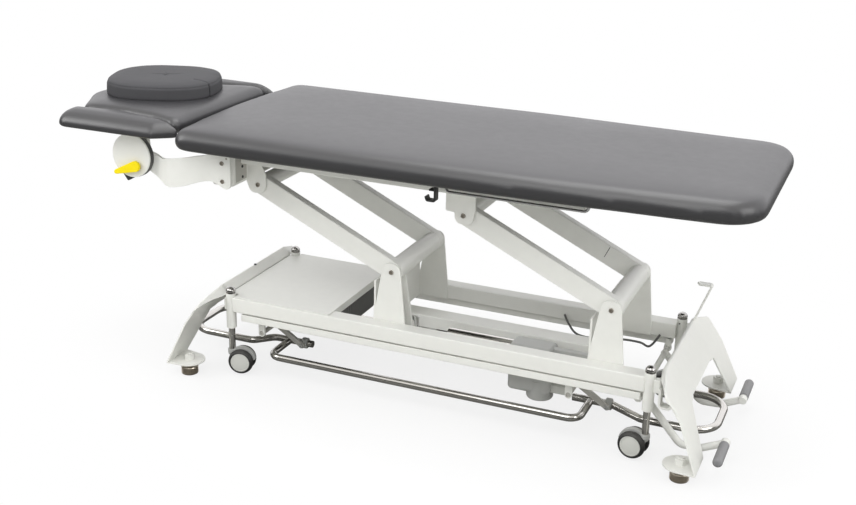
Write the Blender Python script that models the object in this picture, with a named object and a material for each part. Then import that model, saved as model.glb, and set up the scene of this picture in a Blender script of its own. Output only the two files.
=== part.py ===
"""Electric treatment table: padded top, tilting head section, parallel lift arms and a wheeled rail base.

All lengths are in metres. X runs along the table with the head end towards -X, -Y faces the viewer and
Z points up from the floor. Sizes along X are measured from the middle of the base.
"""

import math

import bmesh
import bpy
from mathutils import Matrix, Vector

# Clearances and detail
GAP = 0.0003
SHARP_ANGLE = math.radians(35)
ROUND_STEPS = 12
SHARED_SHEET = 0.004

# Wheel posts, rails and what stands between them
POST_HALF_SPAN = 0.620
POST_HALF_TRACK = 0.196
POST_RADIUS = 0.0145
POST_BOTTOM = 0.142
POST_TOP = 0.250
CAP_RADIUS = 0.0130
CAP_HEIGHT = 0.0165
RAIL_TOP = 0.2404
RAIL_HEIGHT = 0.0445
RAIL_WIDTH = 0.046
RAIL_OUTER = 0.209
RAIL_EDGE = 0.004
CENTRE_BEAM_HALF_WIDTH = 0.030
CENTRE_BEAM_HEIGHT = 0.045
CENTRE_BEAM_DROP = 0.024
COVER_HEAD_OUT = 0.010
COVER_FOOT_X = -0.297
COVER_THICKNESS = 0.0025
CONTROL_BOX_FOOT_X = -0.302
CONTROL_BOX_LENGTH = 0.205
CONTROL_BOX_HALF_WIDTH = 0.115
CONTROL_BOX_HEIGHT = 0.090

# End plates and levelling feet
PLATE_RIDGE_OUT = 0.037
PLATE_RIDGE_Z = 0.264
PLATE_RIDGE_HALF_WIDTH = 0.200
PLATE_SHOULDER_DROP = 0.044
PLATE_SHOULDER_HALF_WIDTH = 0.260
PLATE_FOLD_RUN = 0.066
PLATE_FOLD_DROP = 0.098
PLATE_OPENING_HALF_WIDTH = 0.150
LEG_FOOT_INNER = 0.2065
LEG_FOOT_OUTER = 0.3165
PLATE_FOOT_OUT = 0.155
TAB_Z = 0.043
TAB_RADIUS = 0.0460
FOOT_OUT = 0.109
FOOT_Y = 0.261
FOOT_RADIUS = 0.025
FOOT_DISC_HEIGHT = 0.025
FOOT_SPINDLE_RADIUS = 0.008
CORD_HOOK_Y = 0.170
CORD_HOOK_TOP = 0.372
CORD_HOOK_LEAN = 0.040
CORD_HOOK_TIP = 0.036
CORD_HOOK_WIDTH = 0.012

# Lift arms, towers and pivots
LIFT_PIVOT_HEAD_X = -0.124
LIFT_PIVOT_SPACING = 0.6215
LIFT_PIVOT_Z = 0.3857
ARM_LENGTH = 0.459
ARM_REST_ANGLE = math.radians(25.1)
ARM_HALF_DEPTH = 0.029
ARM_OUTER = 0.1552
ARM_BEAM_WIDTH = 0.028
ARM_PIVOT_TUBE_RADIUS = 0.0275
ARM_TOP_TUBE_RADIUS = 0.0225
EAR_THICKNESS = 0.0055
EAR_RADIUS = 0.025
TOWER_WEB_OFFSET = 0.054
TOWER_FRONT_OFFSET = 0.043
TOWER_WEB_THICKNESS = 0.006
TOWER_WEB_TOP = 0.352
TOWER_NOTCH_ROOF = 0.006
PIN_RADIUS = 0.008
PIN_BORE = 0.00875
PIN_HEAD_RADIUS = 0.0100
PIN_HEAD_HEIGHT = 0.004
PIN_REACH = 0.128

# Actuator and the crank it drives
CRANK_RADIUS = 0.205
CRANK_REST_ANGLE = math.radians(9.0)
CRANK_HALF_WIDTH = 0.015
CRANK_Y = -0.103
CRANK_THICKNESS = 0.009
CRANK_PIN_RADIUS = 0.007
YOKE_Y = -0.0885
YOKE_THICKNESS = 0.008
YOKE_HALF_WIDTH = 0.0235
YOKE_HALF_HEIGHT = 0.0375
YOKE_SLOT_HALF_WIDTH = 0.0117
YOKE_SLOT_HALF_HEIGHT = 0.0275
ROD_RADIUS = 0.0095
ROD_LENGTH = 0.280
ACTUATOR_TUBE_HEAD_X = 0.024
ACTUATOR_TUBE_RADIUS = 0.021
ACTUATOR_BORE = 0.0105
GEARBOX_HEAD_X = 0.212
GEARBOX_FOOT_X = 0.335
GEARBOX_HALF_WIDTH = 0.035
GEARBOX_BOTTOM = 0.085
GEARBOX_TOP = 0.222
MOTOR_X = 0.298
MOTOR_RADIUS = 0.0375
MOTOR_BOTTOM = 0.065
CABLE_RADIUS = 0.004

# Castors, 75 mm twin wheels parked just clear of the floor
WHEEL_RADIUS = 0.0375
WHEEL_CLEARANCE = 0.003
WHEEL_WIDTH = 0.020
WHEEL_INNER = 0.009
WHEEL_TRAIL = 0.029
AXLE_RADIUS = 0.005
AXLE_BORE = 0.0056
HOUSING_TOP = 0.092
HOUSING_BARREL_RADIUS = 0.0135
STEM_RADIUS = 0.0095
STEM_BORE = 0.0102
STEM_TOP = 0.236

# Run-round foot bar and its two cranks
BAR_RADIUS = 0.0105
BAR_Z = 0.068
BAR_SIDE_Y = 0.185
BAR_SIDE_HEAD_IN = 0.118
BAR_SIDE_FOOT_IN = 0.184
BAR_INNER_Y = 0.058
BAR_LOOP_Y = 0.108
BAR_FOOT_CUT_IN = 0.235
BAR_FOOT_WAIST_IN = 0.124
BAR_FOOT_FLARE_IN = 0.032
BAR_FOOT_END_OUT = 0.162
BAR_HEAD_CUT_IN = 0.195
BAR_HEAD_WAIST_IN = 0.068
BAR_HEAD_FLARE_IN = 0.018
BAR_HEAD_END_OUT = 0.202
BAR_END_BEND = 0.070
BAR_BEND = 0.035
CLAMP_RADIUS = 0.0165
CLAMP_WIDTH = 0.018
CLAMP_HEAD_IN = 0.1695
CLAMP_FOOT_IN = 0.1325
LINK_RUN = 0.088
LINK_RISE = 0.056
LINK_Y = 0.0795
LINK_THICKNESS = 0.008
LINK_HALF_WIDTH = 0.011
LINK_SHAFT_RADIUS = 0.007
LINK_SHAFT_BORE = 0.0076
LINK_PIN_RADIUS = 0.006
LINK_PIN_BORE = 0.0066

# Castor pedals and the link bars under the rails
PEDAL_SHAFT_IN = 0.030
PEDAL_SHAFT_Z = 0.162
PEDAL_SHAFT_RADIUS = 0.008
PEDAL_SHAFT_BORE = 0.0087
PEDAL_Y = 0.138
PEDAL_TUBE_RADIUS = 0.010
PEDAL_KNEE = (0.050, -0.057)
PEDAL_HEEL = (0.112, -0.128)
PEDAL_TOE = (0.168, -0.126)
PEDAL_TIP = (0.228, -0.098)
PEDAL_GRIP_START = 0.150
PEDAL_GRIP_END = 0.257
PEDAL_GRIP_RADIUS = 0.013
PEDAL_LEVER_Y = 0.176
PEDAL_LEVER_LENGTH = 0.020
LINK_BAR_INNER = 0.1822
LINK_BAR_WIDTH = 0.008
LINK_BAR_HEIGHT = 0.024
LINK_BAR_HEAD_IN = 0.038
LINK_BAR_FOOT_REACH = 0.010
HANGER_HALF_WIDTH = 0.0125
HANGER_DROP = 0.012

# Table frame under the main cushion
FRAME_TOP = 0.6877
HEAD_BEAM_LENGTH = 0.068
HEAD_BEAM_OFFSET = 0.033
HEAD_BEAM_HALF_WIDTH = 0.242
HEAD_BEAM_HEIGHT = 0.0997
FOOT_BEAM_HEAD_X = 0.029
FOOT_BEAM_FOOT_X = 0.117
FRAME_RAIL_INNER = 0.170
FRAME_RAIL_WIDTH = 0.030
FRAME_RAIL_HEIGHT = 0.040
FRAME_RAIL_FOOT_X = 0.420
BOARD_THICKNESS = 0.0122
BOARD_INSET = 0.085
SIDE_ROD_RADIUS = 0.004
SIDE_ROD_Y = -0.213
SIDE_ROD_HEAD_X = 0.050
SIDE_ROD_FOOT_X = 0.428
SIDE_ROD_DROP = 0.0307
HANDSET_HOOK_X = 0.038
HANDSET_HOOK_Y = -0.250
HANDSET_HOOK_WIDTH = 0.022

# Main cushion
CUSHION_HEAD_X = -0.730
CUSHION_FOOT_X = 0.872
CUSHION_HALF_WIDTH = 0.357
CUSHION_FOOT_HALF_WIDTH = 0.326
CUSHION_TAPER_X = 0.260
CUSHION_TAPER_BEND = 8.0
CUSHION_HEAD_CORNER = 0.140
CUSHION_FOOT_CORNER = 0.110
CUSHION_THICKNESS = 0.066

# Head section
DRUM_X = -0.900
DRUM_DROP = 0.0467
DRUM_RADIUS = 0.0635
DRUM_RIM_RADIUS = 0.0675
DRUM_INNER = 0.2327
DRUM_RIM_WIDTH = 0.0075
DRUM_CAP_WIDTH = 0.0125
SUPPORT_THICKNESS = 0.010
SUPPORT_JOGGLE = 0.020
SUPPORT_DISC_RADIUS = 0.050
SUPPORT_CREASE = 0.006
HINGE_PIN_RADIUS = 0.010
HINGE_PIN_BORE = 0.0107
HINGE_PLATE_WIDTH = 0.014
LEVER_OFFSET_X = 0.014
LEVER_OFFSET_Z = -0.032
LEVER_HUB_RADIUS = 0.016
LEVER_TIP_RADIUS = 0.0085
LEVER_REACH_X = -0.060
LEVER_REACH_Z = -0.018
LEVER_HEIGHT = 0.014
HEAD_PAD_END_X = -1.165
HEAD_PAD_NECK_X = -0.742
PAD_RISE = 0.0283
PAD_THICKNESS = 0.050
PAD_WAIST_HALF_WIDTH = 0.202
PAD_NECK_HALF_WIDTH = 0.258
PAD_CROWN_HALF_WIDTH = 0.222
FACE_HOLE_X = -0.955
FACE_HOLE_LENGTH = 0.180
FACE_HOLE_WIDTH = 0.110
ARMREST_END_X = -1.118
ARMREST_NECK_X = -0.748
ARMREST_OUTER = 0.315
ARMREST_SEAM = 0.006
HEAD_BOARD_THICKNESS = 0.0068
HEAD_BOARD_END_X = -1.100
HEAD_BOARD_NECK_X = -0.800
HEAD_BOARD_HALF_WIDTH = 0.272
PILLOW_X = -0.973
PILLOW_Y = 0.038
PILLOW_TURN = math.radians(20.0)
PILLOW_HALF_LENGTH = 0.166
PILLOW_HALF_WIDTH = 0.160
PILLOW_SQUARENESS = 2.6
PILLOW_THICKNESS = 0.040

# Values that follow from the sizes above
SIDES = (("near", -1), ("far", 1))
ENDS = (("head", -1), ("foot", 1))
RAIL_BOTTOM = RAIL_TOP - RAIL_HEIGHT
RAIL_INNER = RAIL_OUTER - RAIL_WIDTH
RAIL_END_X = POST_HALF_SPAN - POST_RADIUS + RAIL_EDGE
EAR_OUTER = RAIL_INNER - GAP
EAR_INNER = EAR_OUTER - EAR_THICKNESS
ARM_INNER = ARM_OUTER - ARM_BEAM_WIDTH
ARM_RUN = ARM_LENGTH * math.cos(ARM_REST_ANGLE)
ARM_RISE = ARM_LENGTH * math.sin(ARM_REST_ANGLE)
LIFT_PIVOTS_X = (LIFT_PIVOT_HEAD_X, LIFT_PIVOT_HEAD_X + LIFT_PIVOT_SPACING)
TABLE_PIVOTS_X = tuple(pivot_x - ARM_RUN for pivot_x in LIFT_PIVOTS_X)
TABLE_PIVOT_Z = LIFT_PIVOT_Z + ARM_RISE
CRANK_PIN_X = LIFT_PIVOT_HEAD_X + CRANK_RADIUS * math.sin(CRANK_REST_ANGLE)
CRANK_PIN_Z = LIFT_PIVOT_Z - CRANK_RADIUS * math.cos(CRANK_REST_ANGLE)
ROD_Z = CRANK_PIN_Z + 0.073 * CRANK_RADIUS
COVER_HEAD_X = -(POST_HALF_SPAN + COVER_HEAD_OUT)
PLATE_RIDGE_X = POST_HALF_SPAN + PLATE_RIDGE_OUT
PLATE_FOOT_X = POST_HALF_SPAN + PLATE_FOOT_OUT
FOOT_X = POST_HALF_SPAN + FOOT_OUT
BAR_SIDE_HEAD_X = -(POST_HALF_SPAN - BAR_SIDE_HEAD_IN)
BAR_SIDE_FOOT_X = POST_HALF_SPAN - BAR_SIDE_FOOT_IN
BAR_FOOT_CUT_X = POST_HALF_SPAN - BAR_FOOT_CUT_IN
BAR_FOOT_WAIST_X = POST_HALF_SPAN - BAR_FOOT_WAIST_IN
BAR_FOOT_FLARE_X = POST_HALF_SPAN - BAR_FOOT_FLARE_IN
BAR_FOOT_END_X = POST_HALF_SPAN + BAR_FOOT_END_OUT
BAR_HEAD_CUT_X = -(POST_HALF_SPAN - BAR_HEAD_CUT_IN)
BAR_HEAD_WAIST_X = -(POST_HALF_SPAN - BAR_HEAD_WAIST_IN)
BAR_HEAD_FLARE_X = -(POST_HALF_SPAN - BAR_HEAD_FLARE_IN)
BAR_HEAD_END_X = -(POST_HALF_SPAN + BAR_HEAD_END_OUT)
CLAMP_HEAD_X = -(POST_HALF_SPAN - CLAMP_HEAD_IN)
CLAMP_FOOT_X = POST_HALF_SPAN - CLAMP_FOOT_IN
PEDAL_SHAFT_X = POST_HALF_SPAN - PEDAL_SHAFT_IN
LINK_BAR_HEAD_X = -(POST_HALF_SPAN - LINK_BAR_HEAD_IN)
LINK_BAR_FOOT_X = PEDAL_SHAFT_X + LINK_BAR_FOOT_REACH
PLATE_FLANGE_X = POST_HALF_SPAN + POST_RADIUS + GAP + SHARED_SHEET / 2
WHEEL_Z = WHEEL_RADIUS + WHEEL_CLEARANCE
LINK_SHAFT_Z = BAR_Z + LINK_RISE
HEAD_BEAM_BOTTOM = FRAME_TOP - HEAD_BEAM_HEIGHT
BOARD_BOTTOM = FRAME_TOP + GAP
CUSHION_BOTTOM = BOARD_BOTTOM + BOARD_THICKNESS + GAP
SIDE_ROD_Z = FRAME_TOP - SIDE_ROD_DROP
DRUM_Z = FRAME_TOP - DRUM_DROP
PAD_BOTTOM = FRAME_TOP + PAD_RISE
SUPPORT_OUTER = HEAD_BEAM_HALF_WIDTH + GAP + SUPPORT_THICKNESS
DRUM_OUTER = DRUM_INNER + DRUM_RIM_WIDTH + DRUM_CAP_WIDTH
HINGE_PLATE_OUTER = SUPPORT_OUTER - SUPPORT_JOGGLE - SUPPORT_THICKNESS - GAP
HEAD_BOARD_TOP = PAD_BOTTOM - GAP
HEAD_BOARD_BOTTOM = HEAD_BOARD_TOP - HEAD_BOARD_THICKNESS
PILLOW_BOTTOM = PAD_BOTTOM + PAD_THICKNESS + GAP
ORIGIN_SHIFT_X = -(HEAD_PAD_END_X + CUSHION_FOOT_X) / 2


class Pivot:
    """A joint's place: an empty, and its position in the base's frame."""

    def __init__(self, name, position, parent=None):
        self.position = Vector(position)
        self.empty = bpy.data.objects.new(name, None)
        bpy.context.collection.objects.link(self.empty)
        if parent is None:
            self.empty.location = (ORIGIN_SHIFT_X, 0.0, 0.0)
        else:
            self.empty.parent = parent.empty
            self.empty.location = self.position - parent.position


def clear_scene():
    """Remove every object that a new file starts with."""
    for obj in list(bpy.data.objects):
        bpy.data.objects.remove(obj, do_unlink=True)


def finish(name, colour, roughness, metallic=0.0):
    """Return a Principled material."""
    material = bpy.data.materials.new(name)
    material.use_nodes = True
    shader = material.node_tree.nodes["Principled BSDF"]
    shader.inputs["Base Color"].default_value = (*colour, 1.0)
    shader.inputs["Roughness"].default_value = roughness
    shader.inputs["Metallic"].default_value = metallic
    return material


def make_finishes():
    """Return the finishes by short name."""
    return {
        "paint": finish("off_white_paint", (0.77, 0.78, 0.75), 0.42),
        "vinyl": finish("grey_vinyl", (0.25, 0.25, 0.265), 0.45),
        "board": finish("plywood", (0.50, 0.37, 0.22), 0.70),
        "chrome": finish("chrome", (0.80, 0.80, 0.82), 0.12, 1.0),
        "steel": finish("dark_steel", (0.16, 0.16, 0.17), 0.40, 1.0),
        "tyre": finish("black_tyre", (0.03, 0.03, 0.03), 0.75),
        "housing": finish("grey_plastic", (0.55, 0.56, 0.57), 0.50),
        "dark": finish("dark_plastic", (0.05, 0.05, 0.055), 0.55),
        "rubber": finish("grey_rubber", (0.30, 0.31, 0.32), 0.75),
        "lever": finish("yellow_plastic", (0.90, 0.62, 0.06), 0.40),
    }


def add(name, bm, material, pivot):
    """Turn a bmesh built in the base's frame into an object that sits on a pivot."""
    bmesh.ops.translate(bm, verts=bm.verts, vec=-pivot.position)
    bmesh.ops.recalc_face_normals(bm, faces=bm.faces)
    mesh = bpy.data.meshes.new(name)
    bm.to_mesh(mesh)
    bm.free()
    mesh.materials.append(material)
    mesh.shade_smooth()
    mesh.set_sharp_from_angle(angle=SHARP_ANGLE)
    obj = bpy.data.objects.new(name, mesh)
    bpy.context.collection.objects.link(obj)
    obj.parent = pivot.empty
    return obj


def combine(obj, bm, operation, pivot):
    """Add to an object, or cut from it, with an exact Boolean."""
    name = f"{obj.name}_{operation.lower()}_{len(obj.modifiers)}"
    tool = add(name, bm, obj.data.materials[0], pivot)
    tool.hide_render = True
    tool.display_type = "WIRE"
    step = obj.modifiers.new(operation.lower(), "BOOLEAN")
    step.operation = operation
    step.solver = "EXACT"
    step.object = tool


def joined(parts):
    """Return one bmesh that holds several separate solids."""
    whole = bmesh.new()
    for part in parts:
        mesh = bpy.data.meshes.new("piece")
        part.to_mesh(mesh)
        part.free()
        whole.from_mesh(mesh)
        bpy.data.meshes.remove(mesh)
    return whole


def box(low, high, bevel=0.0, segments=2):
    """Return a box between two corners, with its edges rounded if a bevel is given."""
    low = Vector(low)
    high = Vector(high)
    bm = bmesh.new()
    bmesh.ops.create_cube(bm, size=1.0, matrix=Matrix.LocRotScale((low + high) / 2, None, high - low))
    if bevel > 0.0:
        bmesh.ops.bevel(bm, geom=bm.edges, offset=bevel, segments=segments, profile=0.5, affect="EDGES")
    return bm


def prism(outline, axis, low, high):
    """Return an outline extruded along x, y or z from low to high."""
    orders = {"x": (2, 0, 1), "y": (0, 2, 1), "z": (0, 1, 2)}
    order = orders[axis]
    bm = bmesh.new()
    verts = []
    for u, v in outline:
        values = (u, v, low)
        verts.append(bm.verts.new([values[i] for i in order]))
    face = bm.faces.new(verts)
    extruded = bmesh.ops.extrude_face_region(bm, geom=[face])
    moved = [item for item in extruded["geom"] if isinstance(item, bmesh.types.BMVert)]
    step = Vector()
    step["xyz".index(axis)] = high - low
    bmesh.ops.translate(bm, verts=moved, vec=step)
    return bm


def turned(profile, centre, axis, steps=ROUND_STEPS):
    """Return a profile of (radius, height) points turned about an axis through the centre."""
    bm = bmesh.new()
    verts = [bm.verts.new((radius, 0.0, height)) for radius, height in profile]
    edges = [bm.edges.new(pair) for pair in zip(verts, verts[1:])]
    bmesh.ops.spin(bm, geom=verts + edges, axis=(0, 0, 1), angle=math.tau, steps=steps, use_merge=True)
    bmesh.ops.remove_doubles(bm, verts=bm.verts, dist=1e-6)
    turn = Vector((0, 0, 1)).rotation_difference(Vector(axis)).to_matrix().to_4x4()
    bmesh.ops.transform(bm, matrix=Matrix.Translation(centre) @ turn, verts=bm.verts)
    return bm


def cylinder(centre, axis, radius, length, steps=ROUND_STEPS):
    """Return a solid cylinder that starts at the centre and runs along the axis."""
    profile = [(0.0, 0.0), (radius, 0.0), (radius, length), (0.0, length)]
    return turned(profile, centre, axis, steps)


def arc(corner, before, after, radius, steps):
    """Return the points of a rounding of one corner of a path, in two or three dimensions."""
    back = (before - corner).normalized()
    ahead = (after - corner).normalized()
    half = back.angle(ahead) / 2
    centre = corner + (back + ahead).normalized() * (radius / math.sin(half))
    start = corner + back * (radius / math.tan(half)) - centre
    end = corner + ahead * (radius / math.tan(half)) - centre
    return [centre + start.slerp(end, i / steps).normalized() * radius for i in range(steps + 1)]


def rounded(corners, steps=4):
    """Return a closed outline from (u, v, radius) corners."""
    places = [Vector(corner[:2]) for corner in corners]
    outline = []
    for i, corner in enumerate(corners):
        if corner[2] == 0.0:
            outline.append(places[i])
        else:
            after = places[(i + 1) % len(places)]
            outline.extend(arc(places[i], places[i - 1], after, corner[2], steps))
    return [tuple(point) for point in outline]


def stadium(start, end, radius, end_radius=None, steps=6):
    """Return the outline round two circles, as on a lever or a link."""
    start = Vector(start)
    end = Vector(end)
    end_radius = radius if end_radius is None else end_radius
    along = end - start
    heading = math.atan2(along.y, along.x)
    lean = math.asin((radius - end_radius) / along.length)
    outline = []
    for centre, size, first, sweep in (
        (start, radius, heading + math.pi / 2 - lean, math.pi + 2 * lean),
        (end, end_radius, heading - math.pi / 2 + lean, math.pi - 2 * lean),
    ):
        for i in range(steps + 1):
            angle = first + sweep * i / steps
            outline.append((centre.x + size * math.cos(angle), centre.y + size * math.sin(angle)))
    return outline


def bent(points, radius, steps=3):
    """Return a path through points with every inner corner rounded to a bend radius."""
    places = [Vector(point) for point in points]
    path = [places[0]]
    for before, corner, after in zip(places, places[1:], places[2:]):
        path.extend(arc(corner, before, after, radius, steps))
    path.append(places[-1])
    return path


def swept(path, radius, sides=8):
    """Return a round bar along a path."""
    bm = bmesh.new()
    rings = []
    last = len(path) - 1
    side = Vector((0.0, 0.0, 1.0))
    if abs((path[1] - path[0]).normalized().z) > 0.9:
        side = Vector((0.0, 1.0, 0.0))
    for i, point in enumerate(path):
        along = (path[min(i + 1, last)] - path[max(i - 1, 0)]).normalized()
        side = (side - along * side.dot(along)).normalized()
        other = along.cross(side)
        ring = []
        for j in range(sides):
            angle = math.tau * j / sides
            ring.append(bm.verts.new(point + (side * math.cos(angle) + other * math.sin(angle)) * radius))
        rings.append(ring)
    skin(bm, rings)
    return bm


def skin(bm, rings):
    """Join rings of vertices with quads and close both ends."""
    for lower, upper in zip(rings, rings[1:]):
        for i in range(len(lower)):
            j = (i + 1) % len(lower)
            bm.faces.new((lower[i], lower[j], upper[j], upper[i]))
    bm.faces.new(list(reversed(rings[0])))
    bm.faces.new(rings[-1])


def cushion(outline, levels):
    """Return a padded form: an outline drawn in by each level's inset at each level's height."""
    low = Vector((min(u for u, v in outline), min(v for u, v in outline)))
    high = Vector((max(u for u, v in outline), max(v for u, v in outline)))
    middle = (low + high) / 2
    half = (high - low) / 2
    bm = bmesh.new()
    rings = []
    for inset, height in levels:
        ring = []
        for u, v in outline:
            x = middle.x + (u - middle.x) * (half.x - inset) / half.x
            y = middle.y + (v - middle.y) * (half.y - inset) / half.y
            ring.append(bm.verts.new((x, y, height)))
        rings.append(ring)
    skin(bm, rings)
    return bm


def strip(path, thickness):
    """Return the closed outline of a flat strip that follows a path."""
    places = [Vector(point) for point in path]
    left = []
    right = []
    for i, place in enumerate(places):
        back = (place - places[max(i - 1, 0)]).normalized()
        ahead = (places[min(i + 1, len(places) - 1)] - place).normalized()
        along = (back + ahead).normalized()
        across = Vector((-along.y, along.x))
        straight = ahead if i == 0 else back
        reach = thickness / 2 / max(0.3, abs(along.dot(straight)))
        left.append(tuple(place + across * reach))
        right.append(tuple(place - across * reach))
    return left + right[::-1]


def post_profile():
    """Return the profile of a wheel post with its domed cap."""
    height = POST_TOP - POST_BOTTOM
    rim = height + CAP_HEIGHT * 0.28
    profile = [(0.0, 0.0), (POST_RADIUS, 0.0), (POST_RADIUS, height), (CAP_RADIUS, height), (CAP_RADIUS, rim)]
    for i in range(1, 3):
        angle = math.pi / 2 * i / 3
        profile.append((CAP_RADIUS * math.cos(angle), rim + CAP_HEIGHT * 0.72 * math.sin(angle)))
    profile.append((0.0, height + CAP_HEIGHT))
    return profile


def build_rails(finishes, base):
    """Base rails, each with its two capped wheel posts and three shaft hangers welded on."""
    shaft_places = (
        (CLAMP_HEAD_X - LINK_RUN, LINK_SHAFT_Z, LINK_SHAFT_BORE),
        (CLAMP_FOOT_X - LINK_RUN, LINK_SHAFT_Z, LINK_SHAFT_BORE),
        (PEDAL_SHAFT_X, PEDAL_SHAFT_Z, PEDAL_SHAFT_BORE),
    )
    for side, sign in SIDES:
        inner, outer = sorted((sign * RAIL_INNER, sign * RAIL_OUTER))
        body = box((-RAIL_END_X, inner, RAIL_BOTTOM), (RAIL_END_X, outer, RAIL_TOP), RAIL_EDGE, 1)
        rail = add(f"rail_{side}", body, finishes["paint"], base)
        welded = []
        bores = []
        for end, direction in ENDS:
            place = (direction * POST_HALF_SPAN, sign * POST_HALF_TRACK, POST_BOTTOM)
            welded.append(turned(post_profile(), place, (0, 0, 1), 16))
            bore_place = (place[0], place[1], POST_BOTTOM - 0.01)
            bores.append(cylinder(bore_place, (0, 0, 1), STEM_BORE, STEM_TOP - POST_BOTTOM + 0.012))
        near, far = sorted((sign * (RAIL_INNER + 0.002), sign * EAR_INNER))
        for shaft_x, shaft_z, bore in shaft_places:
            corners = [
                (shaft_x - HANGER_HALF_WIDTH, RAIL_TOP - RAIL_EDGE, 0.0),
                (shaft_x - HANGER_HALF_WIDTH, shaft_z - HANGER_DROP, 0.010),
                (shaft_x + HANGER_HALF_WIDTH, shaft_z - HANGER_DROP, 0.010),
                (shaft_x + HANGER_HALF_WIDTH, RAIL_TOP - RAIL_EDGE, 0.0),
            ]
            welded.append(prism(rounded(corners, 2), "y", near, far))
            bores.append(cylinder((shaft_x, near - 0.01, shaft_z), (0, 1, 0), bore, far - near + 0.02, 10))
        combine(rail, joined(welded), "UNION", base)
        combine(rail, joined(bores), "DIFFERENCE", base)


def build_centre_beam(finishes, base):
    """Centre beam between the towers."""
    top = RAIL_TOP - CENTRE_BEAM_DROP
    head_x = LIFT_PIVOTS_X[0] - TOWER_WEB_OFFSET + TOWER_WEB_THICKNESS + GAP
    foot_x = LIFT_PIVOTS_X[1] - TOWER_WEB_OFFSET - GAP
    low = (head_x, -CENTRE_BEAM_HALF_WIDTH, top - CENTRE_BEAM_HEIGHT)
    high = (foot_x, CENTRE_BEAM_HALF_WIDTH, top)
    add("centre_beam", box(low, high, 0.004, 2), finishes["paint"], base)


def build_towers(finishes, base):
    """Bent sheet towers: a web across the base and an ear on each rail for the lower arm pivot."""
    for (end, direction), pivot_x in zip(ENDS, LIFT_PIVOTS_X):
        bottom = RAIL_BOTTOM + 0.002
        web_x = pivot_x - TOWER_WEB_OFFSET
        web = box(
            (web_x, -EAR_INNER - 0.001, bottom),
            (web_x + TOWER_WEB_THICKNESS, EAR_INNER + 0.001, TOWER_WEB_TOP),
        )
        tower = add(f"tower_{end}", web, finishes["paint"], base)
        crown = LIFT_PIVOT_Z + EAR_RADIUS
        corners = [
            (web_x, bottom, 0.0),
            (web_x, RAIL_TOP, 0.012),
            (pivot_x - EAR_RADIUS, crown, EAR_RADIUS * 0.85),
            (pivot_x + EAR_RADIUS, crown, EAR_RADIUS * 0.85),
            (pivot_x + TOWER_FRONT_OFFSET, RAIL_TOP, 0.012),
            (pivot_x + TOWER_FRONT_OFFSET, bottom, 0.0),
        ]
        outline = rounded(corners)
        ears = []
        for side, sign in SIDES:
            low, high = sorted((sign * EAR_INNER, sign * EAR_OUTER))
            ears.append(prism(outline, "y", low, high))
        combine(tower, joined(ears), "UNION", base)
        cuts = []
        for side, sign in SIDES:
            low, high = sorted((sign * (EAR_INNER - 0.002), sign * (EAR_OUTER + 0.002)))
            cuts.append(cylinder((pivot_x, low, LIFT_PIVOT_Z), (0, 1, 0), PIN_BORE, high - low))
        if end == "head":
            cuts.append(
                box(
                    (web_x - 0.01, CRANK_Y - 0.020, bottom - 0.01),
                    (web_x + TOWER_WEB_THICKNESS + 0.01, YOKE_Y + 0.020, TOWER_WEB_TOP - TOWER_NOTCH_ROOF),
                )
            )
        combine(tower, joined(cuts), "DIFFERENCE", base)


def build_cover(finishes, base):
    """Cover panel on the rails with the control box hung under it."""
    bottom = RAIL_TOP + GAP
    inner = POST_HALF_TRACK - POST_RADIUS - 0.002
    step_x = -(POST_HALF_SPAN - POST_RADIUS - 0.002)
    outer = RAIL_OUTER - RAIL_EDGE
    corners = [
        (COVER_HEAD_X, -inner, 0.0),
        (step_x, -inner, 0.0),
        (step_x, -outer, 0.0),
        (COVER_FOOT_X, -outer, 0.006),
        (COVER_FOOT_X, outer, 0.006),
        (step_x, outer, 0.0),
        (step_x, inner, 0.0),
        (COVER_HEAD_X, inner, 0.0),
    ]
    panel = prism(rounded(corners, 2), "z", bottom, bottom + COVER_THICKNESS)
    add("cover_panel", panel, finishes["paint"], base)
    low = (CONTROL_BOX_FOOT_X - CONTROL_BOX_LENGTH, -CONTROL_BOX_HALF_WIDTH, RAIL_TOP - CONTROL_BOX_HEIGHT)
    high = (CONTROL_BOX_FOOT_X, CONTROL_BOX_HALF_WIDTH, RAIL_TOP)
    add("control_box", box(low, high, 0.008), finishes["dark"], base)


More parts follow.
